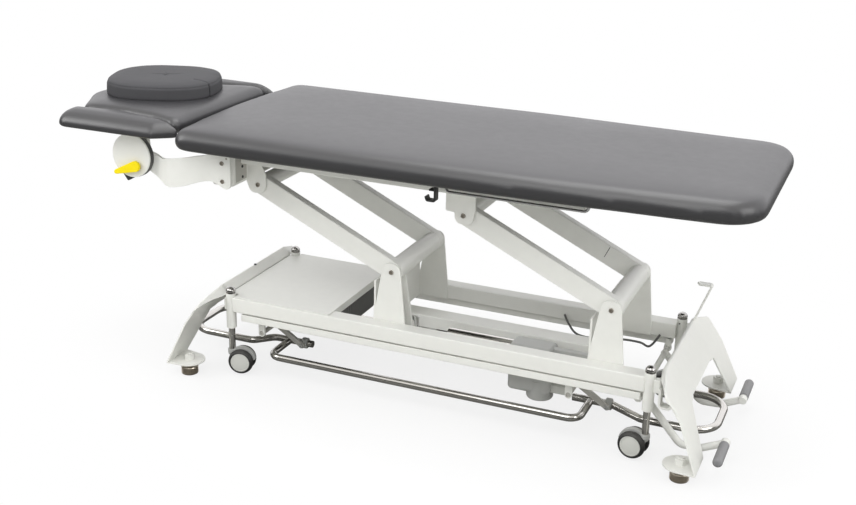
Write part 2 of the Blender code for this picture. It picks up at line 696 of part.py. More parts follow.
def build_end_plates(finishes, base):
    """Bent sheet end plates: flange on the posts, ridge, sloping panel, two legs and a tab under each."""
    flange_top = PLATE_RIDGE_Z - (PLATE_RIDGE_X - PLATE_FLANGE_X)
    fold_x = PLATE_RIDGE_X + PLATE_FOLD_RUN
    fold_z = PLATE_RIDGE_Z - PLATE_FOLD_DROP
    shoulder_x = PLATE_RIDGE_X + PLATE_SHOULDER_DROP * PLATE_FOLD_RUN / PLATE_FOLD_DROP
    shoulder_z = PLATE_RIDGE_Z - PLATE_SHOULDER_DROP
    for end, direction in ENDS:
        bm = bmesh.new()

        def corner(x, y, z):
            return bm.verts.new((direction * x, y, z))

        flange_low = [corner(PLATE_FLANGE_X, s * PLATE_RIDGE_HALF_WIDTH, RAIL_BOTTOM) for n, s in SIDES]
        flange_high = [corner(PLATE_FLANGE_X, s * PLATE_RIDGE_HALF_WIDTH, flange_top) for n, s in SIDES]
        ridge = [corner(PLATE_RIDGE_X, s * PLATE_RIDGE_HALF_WIDTH, PLATE_RIDGE_Z) for n, s in SIDES]
        shoulder = [corner(shoulder_x, s * PLATE_SHOULDER_HALF_WIDTH, shoulder_z) for n, s in SIDES]
        fold_outer = [corner(fold_x, s * (PLATE_SHOULDER_HALF_WIDTH + 0.012), fold_z) for n, s in SIDES]
        fold_inner = [corner(fold_x, s * PLATE_OPENING_HALF_WIDTH, fold_z) for n, s in SIDES]
        bm.faces.new((flange_low[0], flange_low[1], flange_high[1], flange_high[0]))
        bm.faces.new((flange_high[0], flange_high[1], ridge[1], ridge[0]))
        panel = [ridge[0], ridge[1], shoulder[1], fold_outer[1], fold_inner[1]]
        bm.faces.new(panel + [fold_inner[0], fold_outer[0], shoulder[0]])
        for i, (side, sign) in enumerate(SIDES):
            outer = corner(PLATE_FOOT_X, sign * LEG_FOOT_OUTER, TAB_Z)
            inner = corner(PLATE_FOOT_X, sign * LEG_FOOT_INNER, TAB_Z)
            bm.faces.new((fold_inner[i], fold_outer[i], outer, inner))
            tab = [inner, outer]
            for step in range(9):
                angle = math.pi / 2 + math.pi * step / 8
                x = FOOT_X + TAB_RADIUS * math.cos(angle)
                tab.append(corner(x, sign * (FOOT_Y + TAB_RADIUS * math.sin(angle)), TAB_Z))
            bm.faces.new(tab)
        plate = add(f"end_plate_{end}", bm, finishes["paint"], base)
        thicken = plate.modifiers.new("sheet", "SOLIDIFY")
        thicken.thickness = SHARED_SHEET
        thicken.offset = 0.0
        thicken.use_even_offset = True
        if end == "foot":
            lean_x = PLATE_RIDGE_X + CORD_HOOK_LEAN
            path = [
                (PLATE_RIDGE_X, PLATE_RIDGE_Z - 0.001),
                (lean_x, CORD_HOOK_TOP),
                (lean_x - CORD_HOOK_TIP, CORD_HOOK_TOP),
            ]
            outline = strip(path, 0.004)
            half = CORD_HOOK_WIDTH / 2
            combine(plate, prism(outline, "y", CORD_HOOK_Y - half, CORD_HOOK_Y + half), "UNION", base)


def build_levelling_feet(finishes, base):
    """Threaded levelling feet under the round tabs."""
    sheet_bottom = TAB_Z - SHARED_SHEET / 2 - GAP
    profile = [
        (0.0, 0.0),
        (FOOT_RADIUS - 0.003, 0.0),
        (FOOT_RADIUS, 0.003),
        (FOOT_RADIUS, FOOT_DISC_HEIGHT - 0.003),
        (FOOT_RADIUS - 0.004, FOOT_DISC_HEIGHT),
        (FOOT_SPINDLE_RADIUS, FOOT_DISC_HEIGHT),
        (FOOT_SPINDLE_RADIUS, sheet_bottom),
        (0.0, sheet_bottom),
    ]
    for end, direction in ENDS:
        for side, sign in SIDES:
            foot = turned(profile, (direction * FOOT_X, sign * FOOT_Y, 0.0), (0, 0, 1), 16)
            add(f"levelling_foot_{side}_{end}", foot, finishes["steel"], base)


def pin_head(start):
    """Return the profile points of a pivot's domed head that starts at a height."""
    return [
        (PIN_HEAD_RADIUS, start),
        (PIN_HEAD_RADIUS, start + PIN_HEAD_HEIGHT * 0.7),
        (PIN_HEAD_RADIUS * 0.75, start + PIN_HEAD_HEIGHT),
        (0.0, start + PIN_HEAD_HEIGHT),
    ]


def build_pivot_shafts(finishes, base):
    """Shafts through the towers' ears and the arms' pivot tubes, with a head at each end."""
    half = EAR_OUTER + GAP
    upper = [(PIN_RADIUS, half)] + pin_head(half)
    profile = [(radius, -height) for radius, height in reversed(upper)] + upper
    for (end, direction), pivot_x in zip(ENDS, LIFT_PIVOTS_X):
        shaft = turned(profile, (pivot_x, 0.0, LIFT_PIVOT_Z), (0, 1, 0))
        add(f"pivot_shaft_{end}", shaft, finishes["steel"], base)


def build_actuator(finishes, base):
    """Fixed half of the actuator: bored tube, gearbox with its motor, and the lug on the foot tower."""
    gearbox = box(
        (GEARBOX_HEAD_X, YOKE_Y - GEARBOX_HALF_WIDTH, GEARBOX_BOTTOM),
        (GEARBOX_FOOT_X, YOKE_Y + GEARBOX_HALF_WIDTH, GEARBOX_TOP),
        0.012,
    )
    motor = add("actuator", gearbox, finishes["housing"], base)
    tower_x = LIFT_PIVOTS_X[1] - TOWER_WEB_OFFSET - GAP
    tube_place = (ACTUATOR_TUBE_HEAD_X, YOKE_Y, ROD_Z)
    tube_length = GEARBOX_HEAD_X + 0.02 - ACTUATOR_TUBE_HEAD_X
    welded = [
        cylinder(tube_place, (1, 0, 0), ACTUATOR_TUBE_RADIUS, tube_length),
        cylinder((MOTOR_X, YOKE_Y, MOTOR_BOTTOM), (0, 0, 1), MOTOR_RADIUS, 0.060, 16),
        box((GEARBOX_FOOT_X - 0.02, YOKE_Y - 0.010, ROD_Z - 0.020), (tower_x, YOKE_Y + 0.010, ROD_Z + 0.020)),
        box((GEARBOX_FOOT_X - 0.02, YOKE_Y - 0.018, 0.0905), (GEARBOX_FOOT_X + 0.045, YOKE_Y + 0.018, 0.114)),
    ]
    for part in welded:
        combine(motor, part, "UNION", base)
    bore_place = (ACTUATOR_TUBE_HEAD_X - 0.01, YOKE_Y, ROD_Z)
    bore = cylinder(bore_place, (1, 0, 0), ACTUATOR_BORE, GEARBOX_FOOT_X - 0.02 - ACTUATOR_TUBE_HEAD_X)
    combine(motor, bore, "DIFFERENCE", base)


def build_actuator_rod(finishes, pivot):
    """Rod with the slotted yoke that the arm's crank pin runs in."""
    low = (CRANK_PIN_X - YOKE_HALF_WIDTH, YOKE_Y - YOKE_THICKNESS / 2, ROD_Z - YOKE_HALF_HEIGHT)
    high = (CRANK_PIN_X + YOKE_HALF_WIDTH, YOKE_Y + YOKE_THICKNESS / 2, ROD_Z + YOKE_HALF_HEIGHT)
    yoke = add("actuator_rod", box(low, high), finishes["chrome"], pivot)
    start = (CRANK_PIN_X + YOKE_SLOT_HALF_WIDTH + 0.004, YOKE_Y, ROD_Z)
    combine(yoke, cylinder(start, (1, 0, 0), ROD_RADIUS, ROD_LENGTH), "UNION", pivot)
    reach = YOKE_SLOT_HALF_HEIGHT - YOKE_SLOT_HALF_WIDTH
    outline = stadium((CRANK_PIN_X, ROD_Z - reach), (CRANK_PIN_X, ROD_Z + reach), YOKE_SLOT_HALF_WIDTH)
    combine(yoke, prism(outline, "y", YOKE_Y - 0.02, YOKE_Y + 0.02), "DIFFERENCE", pivot)


def build_cable(finishes, base):
    """Motor cable along the inside of the far rail, from its grommet to its clip."""
    start_x = LIFT_PIVOTS_X[1] - TOWER_WEB_OFFSET
    side = RAIL_INNER - CABLE_RADIUS
    points = [
        (start_x - 0.157, side - GAP, RAIL_TOP - 0.026),
        (start_x - 0.139, side - 0.012, RAIL_BOTTOM - 0.004),
        (start_x - 0.108, side - 0.020, RAIL_BOTTOM - 0.028),
        (start_x - 0.040, side - 0.020, RAIL_BOTTOM - 0.030),
        (start_x + 0.022, side - 0.018, RAIL_BOTTOM - 0.019),
        (start_x + 0.072, side - 0.014, RAIL_BOTTOM - 0.020),
        (start_x + 0.100, side - 0.010, RAIL_BOTTOM - 0.028),
        (start_x + 0.125, side - GAP, RAIL_BOTTOM + 0.008),
    ]
    add("motor_cable", swept(bent(points, 0.012, 3), CABLE_RADIUS, 8), finishes["dark"], base)


def build_lift_arm(name, pivot_x, finishes, pivot, cranked):
    """Lift arm: two beams, a pivot tube and a top tube, and on the head arm the actuator's crank."""
    lower = (pivot_x, LIFT_PIVOT_Z)
    upper = (pivot_x - ARM_RUN, TABLE_PIVOT_Z)
    outline = stadium(lower, upper, ARM_HALF_DEPTH)
    beams = []
    for side, sign in SIDES:
        low, high = sorted((sign * ARM_INNER, sign * ARM_OUTER))
        beams.append(prism(outline, "y", low, high))
    arm = add(name, joined(beams), finishes["paint"], pivot)
    reach = ARM_INNER + 0.004
    tubes = [
        cylinder((lower[0], -reach, lower[1]), (0, 1, 0), ARM_PIVOT_TUBE_RADIUS, 2 * reach, 16),
        cylinder((upper[0], -reach, upper[1]), (0, 1, 0), ARM_TOP_TUBE_RADIUS, 2 * reach, 14),
    ]
    combine(arm, joined(tubes), "UNION", pivot)
    if cranked:
        back = CRANK_Y - CRANK_THICKNESS / 2
        plate = stadium(lower, (CRANK_PIN_X, CRANK_PIN_Z), CRANK_HALF_WIDTH)
        combine(arm, prism(plate, "y", back, back + CRANK_THICKNESS), "UNION", pivot)
        pin_length = YOKE_Y + YOKE_THICKNESS / 2 + 0.004 - back
        pin = cylinder((CRANK_PIN_X, back + 0.001, CRANK_PIN_Z), (0, 1, 0), CRANK_PIN_RADIUS, pin_length, 12)
        combine(arm, pin, "UNION", pivot)
    bores = [cylinder((lower[0], -ARM_OUTER - 0.01, lower[1]), (0, 1, 0), PIN_BORE, 2 * ARM_OUTER + 0.02)]
    for side, sign in SIDES:
        start = (upper[0], sign * (PIN_REACH - 0.001), upper[1])
        bores.append(cylinder(start, (0, sign, 0), PIN_BORE, 0.04))
    combine(arm, joined(bores), "DIFFERENCE", pivot)


def build_castor(name, direction, sign, heading, finishes, stem_pivot, swivel_pivot, wheel_pivot):
    """One castor: chrome stem, swivelling housing with its axle, and a twin wheel."""
    post = Vector((direction * POST_HALF_SPAN, sign * POST_HALF_TRACK, 0.0))
    turn = Matrix.Translation(post) @ Matrix.Rotation(heading, 4, "Z")
    stem_length = STEM_TOP - HOUSING_TOP - GAP
    stem = cylinder((post.x, post.y, HOUSING_TOP + GAP), (0, 0, 1), STEM_RADIUS, stem_length)
    add(f"castor_stem_{name}", stem, finishes["chrome"], stem_pivot)

    web = WHEEL_INNER - 0.002
    outline = rounded(
        [
            (WHEEL_TRAIL - 0.010, WHEEL_Z - 0.012, 0.008),
            (WHEEL_TRAIL + 0.016, WHEEL_Z - 0.012, 0.010),
            (WHEEL_TRAIL + 0.032, WHEEL_Z + 0.020, 0.014),
            (WHEEL_TRAIL + 0.006, WHEEL_Z + 0.048, 0.014),
            (-HOUSING_BARREL_RADIUS + 0.002, WHEEL_Z + 0.048, 0.006),
            (-HOUSING_BARREL_RADIUS + 0.002, WHEEL_Z + 0.018, 0.008),
        ],
        3,
    )
    body = prism(outline, "y", -web, web)
    bmesh.ops.transform(body, matrix=turn, verts=body.verts)
    housing = add(f"castor_housing_{name}", body, finishes["housing"], swivel_pivot)
    barrel_bottom = WHEEL_Z + WHEEL_RADIUS * 0.92
    barrel = cylinder((0, 0, barrel_bottom), (0, 0, 1), HOUSING_BARREL_RADIUS, HOUSING_TOP - barrel_bottom)
    hood_low = (-0.004, -WHEEL_INNER - WHEEL_WIDTH * 0.8, WHEEL_Z + WHEEL_RADIUS + 0.002)
    hood_high = (WHEEL_TRAIL + 0.014, WHEEL_INNER + WHEEL_WIDTH * 0.8, WHEEL_Z + WHEEL_RADIUS + 0.007)
    hood = box(hood_low, hood_high, 0.002, 1)
    bore = cylinder((WHEEL_TRAIL, -0.02, WHEEL_Z), (0, 1, 0), AXLE_BORE, 0.04, 12)
    for part, operation in ((barrel, "UNION"), (hood, "UNION"), (bore, "DIFFERENCE")):
        bmesh.ops.transform(part, matrix=turn, verts=part.verts)
        combine(housing, part, operation, swivel_pivot)

    half = [
        (AXLE_RADIUS, WHEEL_INNER),
        (WHEEL_RADIUS - 0.006, WHEEL_INNER),
        (WHEEL_RADIUS, WHEEL_INNER + 0.004),
        (WHEEL_RADIUS - 0.002, WHEEL_INNER + WHEEL_WIDTH - 0.003),
        (WHEEL_RADIUS - 0.008, WHEEL_INNER + WHEEL_WIDTH),
        (WHEEL_RADIUS * 0.55, WHEEL_INNER + WHEEL_WIDTH - 0.003),
        (0.0, WHEEL_INNER + WHEEL_WIDTH - 0.002),
    ]
    profile = [(radius, -height) for radius, height in reversed(half)] + half
    twin = turned(profile, (WHEEL_TRAIL, 0.0, WHEEL_Z), (0, 1, 0), 16)
    bmesh.ops.transform(twin, matrix=turn, verts=twin.verts)
    add(f"castor_wheel_{name}", twin, finishes["tyre"], wheel_pivot)


def build_castors(finishes, base):
    """All four castors with their slide, swivel and wheel pivots."""
    headings = {"near_head": 14.0, "near_foot": 172.0, "far_head": 10.0, "far_foot": 176.0}
    for end, direction in ENDS:
        for side, sign in SIDES:
            name = f"{side}_{end}"
            heading = math.radians(headings[name])
            place = Vector((direction * POST_HALF_SPAN, sign * POST_HALF_TRACK, POST_BOTTOM))
            stem = Pivot(f"castor_slide_{name}", place, base)
            swivel = Pivot(f"castor_swivel_{name}", (place.x, place.y, HOUSING_TOP), stem)
            trail = Vector((math.cos(heading), math.sin(heading), 0.0)) * WHEEL_TRAIL
            axle = Pivot(f"castor_axle_{name}", (place.x + trail.x, place.y + trail.y, WHEEL_Z), swivel)
            build_castor(name, direction, sign, heading, finishes, stem, swivel, axle)


def build_foot_bar(finishes, pivot):
    """Run-round foot bar: a loop at each end with clamps for the cranks, and a long bar on each side."""
    loops = {
        "head": (BAR_HEAD_CUT_X, BAR_HEAD_WAIST_X, BAR_HEAD_FLARE_X, BAR_HEAD_END_X, CLAMP_HEAD_X),
        "foot": (BAR_FOOT_CUT_X, BAR_FOOT_WAIST_X, BAR_FOOT_FLARE_X, BAR_FOOT_END_X, CLAMP_FOOT_X),
    }
    for end, (cut_x, waist_x, flare_x, end_x, clamp_x) in loops.items():
        half = [
            (cut_x, BAR_INNER_Y, BAR_Z),
            (waist_x, BAR_INNER_Y, BAR_Z),
            (flare_x, BAR_LOOP_Y, BAR_Z),
            (end_x, BAR_LOOP_Y, BAR_Z),
        ]
        path = bent([(x, -y, z) for x, y, z in half] + half[::-1], BAR_BEND)
        corner = Vector((end_x, -BAR_LOOP_Y, BAR_Z))
        before = Vector((flare_x, -BAR_LOOP_Y, BAR_Z))
        after = Vector((end_x, BAR_LOOP_Y, BAR_Z))
        turns = arc(corner, before, after, BAR_END_BEND, 5)
        mirrored = [Vector((p.x, -p.y, p.z)) for p in reversed(turns)]
        near_half = path[:9]
        far_half = [Vector((p.x, -p.y, p.z)) for p in reversed(near_half)]
        route = near_half + turns + mirrored + far_half
        loop = add(f"foot_bar_{end}", swept(route, BAR_RADIUS, 8), finishes["chrome"], pivot)
        clamps = []
        stubs = []
        for side, sign in SIDES:
            place = (clamp_x - CLAMP_WIDTH / 2, sign * BAR_INNER_Y, BAR_Z)
            clamps.append(cylinder(place, (1, 0, 0), CLAMP_RADIUS, CLAMP_WIDTH))
            start = (clamp_x, sign * (BAR_INNER_Y + 0.004), BAR_Z)
            reach = LINK_Y + LINK_THICKNESS / 2 + 0.002 - BAR_INNER_Y - 0.004
            stubs.append(cylinder(start, (0, sign, 0), LINK_PIN_RADIUS, reach, 8))
        combine(loop, joined(clamps), "UNION", pivot)
        combine(loop, joined(stubs), "UNION", pivot)
    root_y = BAR_INNER_Y + BAR_RADIUS + GAP
    for side, sign in SIDES:
        points = [
            (BAR_SIDE_HEAD_X, sign * root_y, BAR_Z),
            (BAR_SIDE_HEAD_X, sign * BAR_SIDE_Y, BAR_Z),
            (BAR_SIDE_FOOT_X, sign * BAR_SIDE_Y, BAR_Z),
            (BAR_SIDE_FOOT_X, sign * root_y, BAR_Z),
        ]
        bar = swept(bent(points, BAR_BEND), BAR_RADIUS, 8)
        add(f"foot_bar_{side}", bar, finishes["chrome"], pivot)


def build_link(name, clamp_x, finishes, pivot):
    """Crank that carries one end of the foot bar: a cross shaft in the rail hangers and two links."""
    shaft_x = clamp_x - LINK_RUN
    reach = EAR_OUTER - 0.001
    shaft = cylinder((shaft_x, -reach, LINK_SHAFT_Z), (0, 1, 0), LINK_SHAFT_RADIUS, 2 * reach, 12)
    crank = add(name, shaft, finishes["paint"], pivot)
    outline = stadium((shaft_x, LINK_SHAFT_Z), (clamp_x, BAR_Z), LINK_HALF_WIDTH)
    links = []
    bores = []
    for side, sign in SIDES:
        low = sign * LINK_Y - LINK_THICKNESS / 2
        links.append(prism(outline, "y", low, low + LINK_THICKNESS))
        bore_place = (clamp_x, low - 0.01, BAR_Z)
        bores.append(cylinder(bore_place, (0, 1, 0), LINK_PIN_BORE, LINK_THICKNESS + 0.02, 8))
    combine(crank, joined(links), "UNION", pivot)
    combine(crank, joined(bores), "DIFFERENCE", pivot)


def build_pedals(finishes, pivot):
    """Castor pedals: one cross shaft, an arm on each side with a rubber grip, and two short levers."""
    reach = PEDAL_LEVER_Y + 0.003
    start = (PEDAL_SHAFT_X, -reach, PEDAL_SHAFT_Z)
    shaft = cylinder(start, (0, 1, 0), PEDAL_SHAFT_RADIUS, 2 * reach, 12)
    frame = add("pedal_frame", shaft, finishes["paint"], pivot)
    arms = []
    levers = []
    pins = []
    tip_x = PEDAL_SHAFT_X + PEDAL_TIP[0]
    tip_z = PEDAL_SHAFT_Z + PEDAL_TIP[1]
    pin_z = PEDAL_SHAFT_Z + PEDAL_LEVER_LENGTH
    for side, sign in SIDES:
        points = [(PEDAL_SHAFT_X - 0.004, sign * PEDAL_Y, PEDAL_SHAFT_Z + 0.006)]
        for run, rise in (PEDAL_KNEE, PEDAL_HEEL, PEDAL_TOE, PEDAL_TIP):
            points.append((PEDAL_SHAFT_X + run, sign * PEDAL_Y, PEDAL_SHAFT_Z + rise))
        points.append((tip_x, sign * (PEDAL_GRIP_END - 0.004), tip_z))
        arms.append(swept(bent(points, 0.011, 2), PEDAL_TUBE_RADIUS, 8))
        lever = stadium((PEDAL_SHAFT_X, PEDAL_SHAFT_Z), (PEDAL_SHAFT_X, pin_z), 0.011, 0.007)
        low = sign * PEDAL_LEVER_Y - 0.0035
        levers.append(prism(lever, "y", low, low + 0.007))
        pin_reach = LINK_BAR_INNER + LINK_BAR_WIDTH - 0.001 - PEDAL_LEVER_Y
        pin_place = (PEDAL_SHAFT_X, sign * PEDAL_LEVER_Y, pin_z)
        pins.append(cylinder(pin_place, (0, sign, 0), 0.004, pin_reach, 12))
        bore = PEDAL_TUBE_RADIUS + 2 * GAP
        profile = [
            (bore, 0.0),
            (PEDAL_GRIP_RADIUS - 0.001, 0.0),
            (PEDAL_GRIP_RADIUS, 0.003),
            (PEDAL_GRIP_RADIUS, PEDAL_GRIP_END - PEDAL_GRIP_START - 0.004),
            (PEDAL_GRIP_RADIUS - 0.003, PEDAL_GRIP_END - PEDAL_GRIP_START),
            (0.0, PEDAL_GRIP_END - PEDAL_GRIP_START),
            (0.0, PEDAL_GRIP_END - PEDAL_GRIP_START - 0.0035),
            (bore, PEDAL_GRIP_END - PEDAL_GRIP_START - 0.0035),
            (bore, 0.0),
        ]
        grip = turned(profile, (tip_x, sign * PEDAL_GRIP_START, tip_z), (0, sign, 0))
        add(f"pedal_grip_{side}", grip, finishes["rubber"], pivot)
    combine(frame, joined(arms), "UNION", pivot)
    combine(frame, joined(levers), "UNION", pivot)
    combine(frame, joined(pins), "UNION", pivot)


def build_link_bars(finishes, pivots):
    """Bars under the rails that carry the pedals' movement to the posts."""
    pin_z = PEDAL_SHAFT_Z + PEDAL_LEVER_LENGTH
    top = RAIL_BOTTOM - GAP
    for side, sign in SIDES:
        low, high = sorted((sign * LINK_BAR_INNER, sign * (LINK_BAR_INNER + LINK_BAR_WIDTH)))
        body = box((LINK_BAR_HEAD_X, low, top - LINK_BAR_HEIGHT), (LINK_BAR_FOOT_X, high, top))
        bar = add(f"link_bar_{side}", body, finishes["paint"], pivots[side])
        slot = stadium((PEDAL_SHAFT_X, pin_z - 0.003), (PEDAL_SHAFT_X, pin_z + 0.003), 0.0046, steps=5)
        combine(bar, prism(slot, "y", low - 0.01, high + 0.01), "DIFFERENCE", pivots[side])


def build_table_frame(finishes, table):
    """Frame under the main cushion: head crossbeam, and side rails with the foot beam between them."""
    head_pivot_x, foot_pivot_x = TABLE_PIVOTS_X
    beam_foot_x = head_pivot_x - HEAD_BEAM_OFFSET
    beam = box(
        (beam_foot_x - HEAD_BEAM_LENGTH, -HEAD_BEAM_HALF_WIDTH, HEAD_BEAM_BOTTOM),
        (beam_foot_x, HEAD_BEAM_HALF_WIDTH, FRAME_TOP),
        0.008,
    )
    head_beam = add("head_crossbeam", beam, finishes["paint"], table)
    head_ear = rounded(
        [
            (beam_foot_x - 0.008, FRAME_TOP - 0.010, 0.0),
            (beam_foot_x - 0.008, HEAD_BEAM_BOTTOM + 0.010, 0.0),
            (head_pivot_x - EAR_RADIUS, TABLE_PIVOT_Z - EAR_RADIUS, EAR_RADIUS * 0.8),
            (head_pivot_x + EAR_RADIUS, TABLE_PIVOT_Z - EAR_RADIUS, EAR_RADIUS * 0.9),
            (head_pivot_x + EAR_RADIUS, TABLE_PIVOT_Z + 0.030, 0.006),
            (head_pivot_x - 0.004, FRAME_TOP - 0.010, 0.006),
        ]
    )
    foot_box = box(
        (FOOT_BEAM_HEAD_X, -FRAME_RAIL_INNER - 0.004, FRAME_TOP - FRAME_RAIL_HEIGHT + 0.001),
        (FOOT_BEAM_FOOT_X, FRAME_RAIL_INNER + 0.004, FRAME_TOP - 0.001),
    )
    frame = add("table_frame", foot_box, finishes["paint"], table)
    rails = []
    for side, sign in SIDES:
        low, high = sorted((sign * FRAME_RAIL_INNER, sign * (FRAME_RAIL_INNER + FRAME_RAIL_WIDTH)))
        start = (beam_foot_x + GAP, low, FRAME_TOP - FRAME_RAIL_HEIGHT)
        rails.append(box(start, (FRAME_RAIL_FOOT_X, high, FRAME_TOP), 0.003, 1))
    combine(frame, joined(rails), "UNION", table)
    foot_ear = rounded(
        [
            (FOOT_BEAM_HEAD_X + 0.002, FRAME_TOP - 0.010, 0.0),
            (FOOT_BEAM_HEAD_X + 0.002, TABLE_PIVOT_Z + 0.008, 0.004),
            (foot_pivot_x - EAR_RADIUS, TABLE_PIVOT_Z + 0.006, 0.004),
            (foot_pivot_x - EAR_RADIUS, TABLE_PIVOT_Z - EAR_RADIUS, EAR_RADIUS * 0.8),
            (foot_pivot_x + EAR_RADIUS, TABLE_PIVOT_Z - EAR_RADIUS, EAR_RADIUS * 0.8),
            (FOOT_BEAM_FOOT_X - 0.002, TABLE_PIVOT_Z + 0.016, 0.008),
            (FOOT_BEAM_FOOT_X - 0.002, FRAME_TOP - 0.010, 0.0),
        ]
    )
    pin_start = EAR_OUTER - PIN_REACH
    profile = [(0.0, 0.0), (PIN_RADIUS, 0.0), (PIN_RADIUS, pin_start)] + pin_head(pin_start)
    eared = ((head_beam, head_ear, head_pivot_x), (frame, foot_ear, foot_pivot_x))
    for beam_object, outline, pivot_x in eared:
        ears = []
        pins = []
        for side, sign in SIDES:
            low, high = sorted((sign * EAR_INNER, sign * EAR_OUTER))
            ears.append(prism(outline, "y", low, high))
            pins.append(turned(profile, (pivot_x, sign * PIN_REACH, TABLE_PIVOT_Z), (0, sign, 0)))
        combine(beam_object, joined(ears), "UNION", table)
        combine(beam_object, joined(pins), "UNION", table)


def main_outline(inset):
    """Return the main cushion's plan outline, drawn in by an inset."""
    head = (CUSHION_HEAD_X + inset, CUSHION_HALF_WIDTH - inset, CUSHION_HEAD_CORNER)
    taper = (CUSHION_TAPER_X, CUSHION_HALF_WIDTH - inset, CUSHION_TAPER_BEND)
    foot = (CUSHION_FOOT_X - inset, CUSHION_FOOT_HALF_WIDTH - inset, CUSHION_FOOT_CORNER)
    corners = [(x, -y, r) for x, y, r in (head, taper, foot)] + [foot, taper, head]
    return rounded(corners, 6)


def build_main_cushion(finishes, table):
    """Main cushion with rolled edges and a crown, on its board."""
    outline = main_outline(BOARD_INSET)
    top = CUSHION_BOTTOM - GAP
    add("board", prism(outline, "z", BOARD_BOTTOM, top), finishes["board"], table)
    height = CUSHION_THICKNESS
    levels = [
        (0.042, 0.0),
        (0.020, 0.05),
        (0.008, 0.20),
        (0.002, 0.40),
        (0.0, 0.58),
        (0.003, 0.76),
        (0.012, 0.89),
        (0.030, 0.955),
        (0.080, 0.985),
        (0.190, 1.0),
    ]
    rings = [(inset, CUSHION_BOTTOM + share * height) for inset, share in levels]
    add("main_cushion", cushion(main_outline(0.0), rings), finishes["vinyl"], table)


def build_table_fittings(finishes, table):
    """Chrome side rod and the handset hook under the cushion's near side."""
    top = BOARD_BOTTOM - GAP
    points = [
        (SIDE_ROD_HEAD_X, SIDE_ROD_Y, top),
        (SIDE_ROD_HEAD_X, SIDE_ROD_Y, SIDE_ROD_Z),
        (SIDE_ROD_FOOT_X, SIDE_ROD_Y, SIDE_ROD_Z),
        (SIDE_ROD_FOOT_X + 0.012, SIDE_ROD_Y, top - SIDE_ROD_RADIUS * 0.4),
    ]
    add("side_rod", swept(bent(points, 0.010), SIDE_ROD_RADIUS, 8), finishes["chrome"], table)
    path = [
        (HANDSET_HOOK_X, top),
        (HANDSET_HOOK_X, top - 0.047),
        (HANDSET_HOOK_X - 0.022, top - 0.047),
        (HANDSET_HOOK_X - 0.026, top - 0.036),
    ]
    half = HANDSET_HOOK_WIDTH / 2
    hook = prism(strip(path, 0.005), "y", HANDSET_HOOK_Y - half, HANDSET_HOOK_Y + half)
    add("handset_hook", hook, finishes["dark"], table)


def build_support_arms(finishes, table):
    """Creased dog-leg arms from the crossbeam's ends, set in behind the hinge drums."""
    stations = [
        (-0.866, 0.0817, 0.0277, 1.0),
        (-0.832, 0.1017, 0.0377, 1.0),
        (-0.806, 0.1147, 0.0457, 0.55),
        (-0.778, 0.1232, 0.0427, 0.0),
        (-0.731, 0.1147, 0.0337, 0.0),
        (-0.690, 0.0997, 0.0237, 0.0),
        (-0.655, 0.0897, 0.0147, 0.0),
        (-0.628, 0.0887, 0.0012, 0.0),
        (-0.590, 0.1047, 0.0012, 0.0),
        (-0.574, 0.0937, 0.0047, 0.0),
    ]
    for side, sign in SIDES:
        bm = bmesh.new()
        rings = []
        for x, low_drop, high_drop, joggle in stations:
            low = FRAME_TOP - low_drop
            high = FRAME_TOP - high_drop
            outer = SUPPORT_OUTER - SUPPORT_JOGGLE * joggle
            inner = outer - SUPPORT_THICKNESS
            middle = low + (high - low) * 0.52
            crease = SUPPORT_CREASE * (1.0 - joggle) if x < -0.67 else 0.0
            section = [
                (outer, low),
                (outer, middle),
                (outer - crease, high),
                (inner - crease, high),
                (inner, middle),
                (inner, low),
            ]
            rings.append([bm.verts.new((x, sign * y, z)) for y, z in section])
        skin(bm, rings)
        support = add(f"support_arm_{side}", bm, finishes["paint"], table)
        disc_inner = SUPPORT_OUTER - SUPPORT_JOGGLE - SUPPORT_THICKNESS
        disc_place = (DRUM_X, sign * disc_inner, DRUM_Z)
        disc = cylinder(disc_place, (0, sign, 0), SUPPORT_DISC_RADIUS, SUPPORT_THICKNESS, 16)
        combine(support, disc, "UNION", table)
        bore_place = (DRUM_X, sign * (disc_inner - 0.01), DRUM_Z)
        bore = cylinder(bore_place, (0, sign, 0), HINGE_PIN_BORE, SUPPORT_THICKNESS + 0.02)
        combine(support, bore, "DIFFERENCE", table)


def build_drums(finishes, head):
    """Round hinge drums: a dark rim against the support arm and a domed cap outside it."""
    cap_start = DRUM_RIM_WIDTH
    cap_end = DRUM_RIM_WIDTH + DRUM_CAP_WIDTH
    profile = [
        (0.0, 0.0),
        (DRUM_RIM_RADIUS, 0.0),
        (DRUM_RIM_RADIUS, cap_start - 0.002),
        (DRUM_RADIUS - 0.002, cap_start),
        (DRUM_RADIUS, cap_start + 0.002),
        (DRUM_RADIUS, cap_end - 0.004),
        (DRUM_RADIUS - 0.004, cap_end),
        (0.0, cap_end),
    ]
    for side, sign in SIDES:
        drum = turned(profile, (DRUM_X, sign * DRUM_INNER, DRUM_Z), (0, sign, 0), 24)
        add(f"hinge_drum_{side}", drum, finishes["paint"], head)


def face_hole(inset):
    """Return the outline of the face hole, made smaller by an inset."""
    half = FACE_HOLE_WIDTH / 2 - inset
    reach = FACE_HOLE_LENGTH / 2 - FACE_HOLE_WIDTH / 2
    return stadium((FACE_HOLE_X - reach, 0.0), (FACE_HOLE_X + reach, 0.0), half, steps=8)


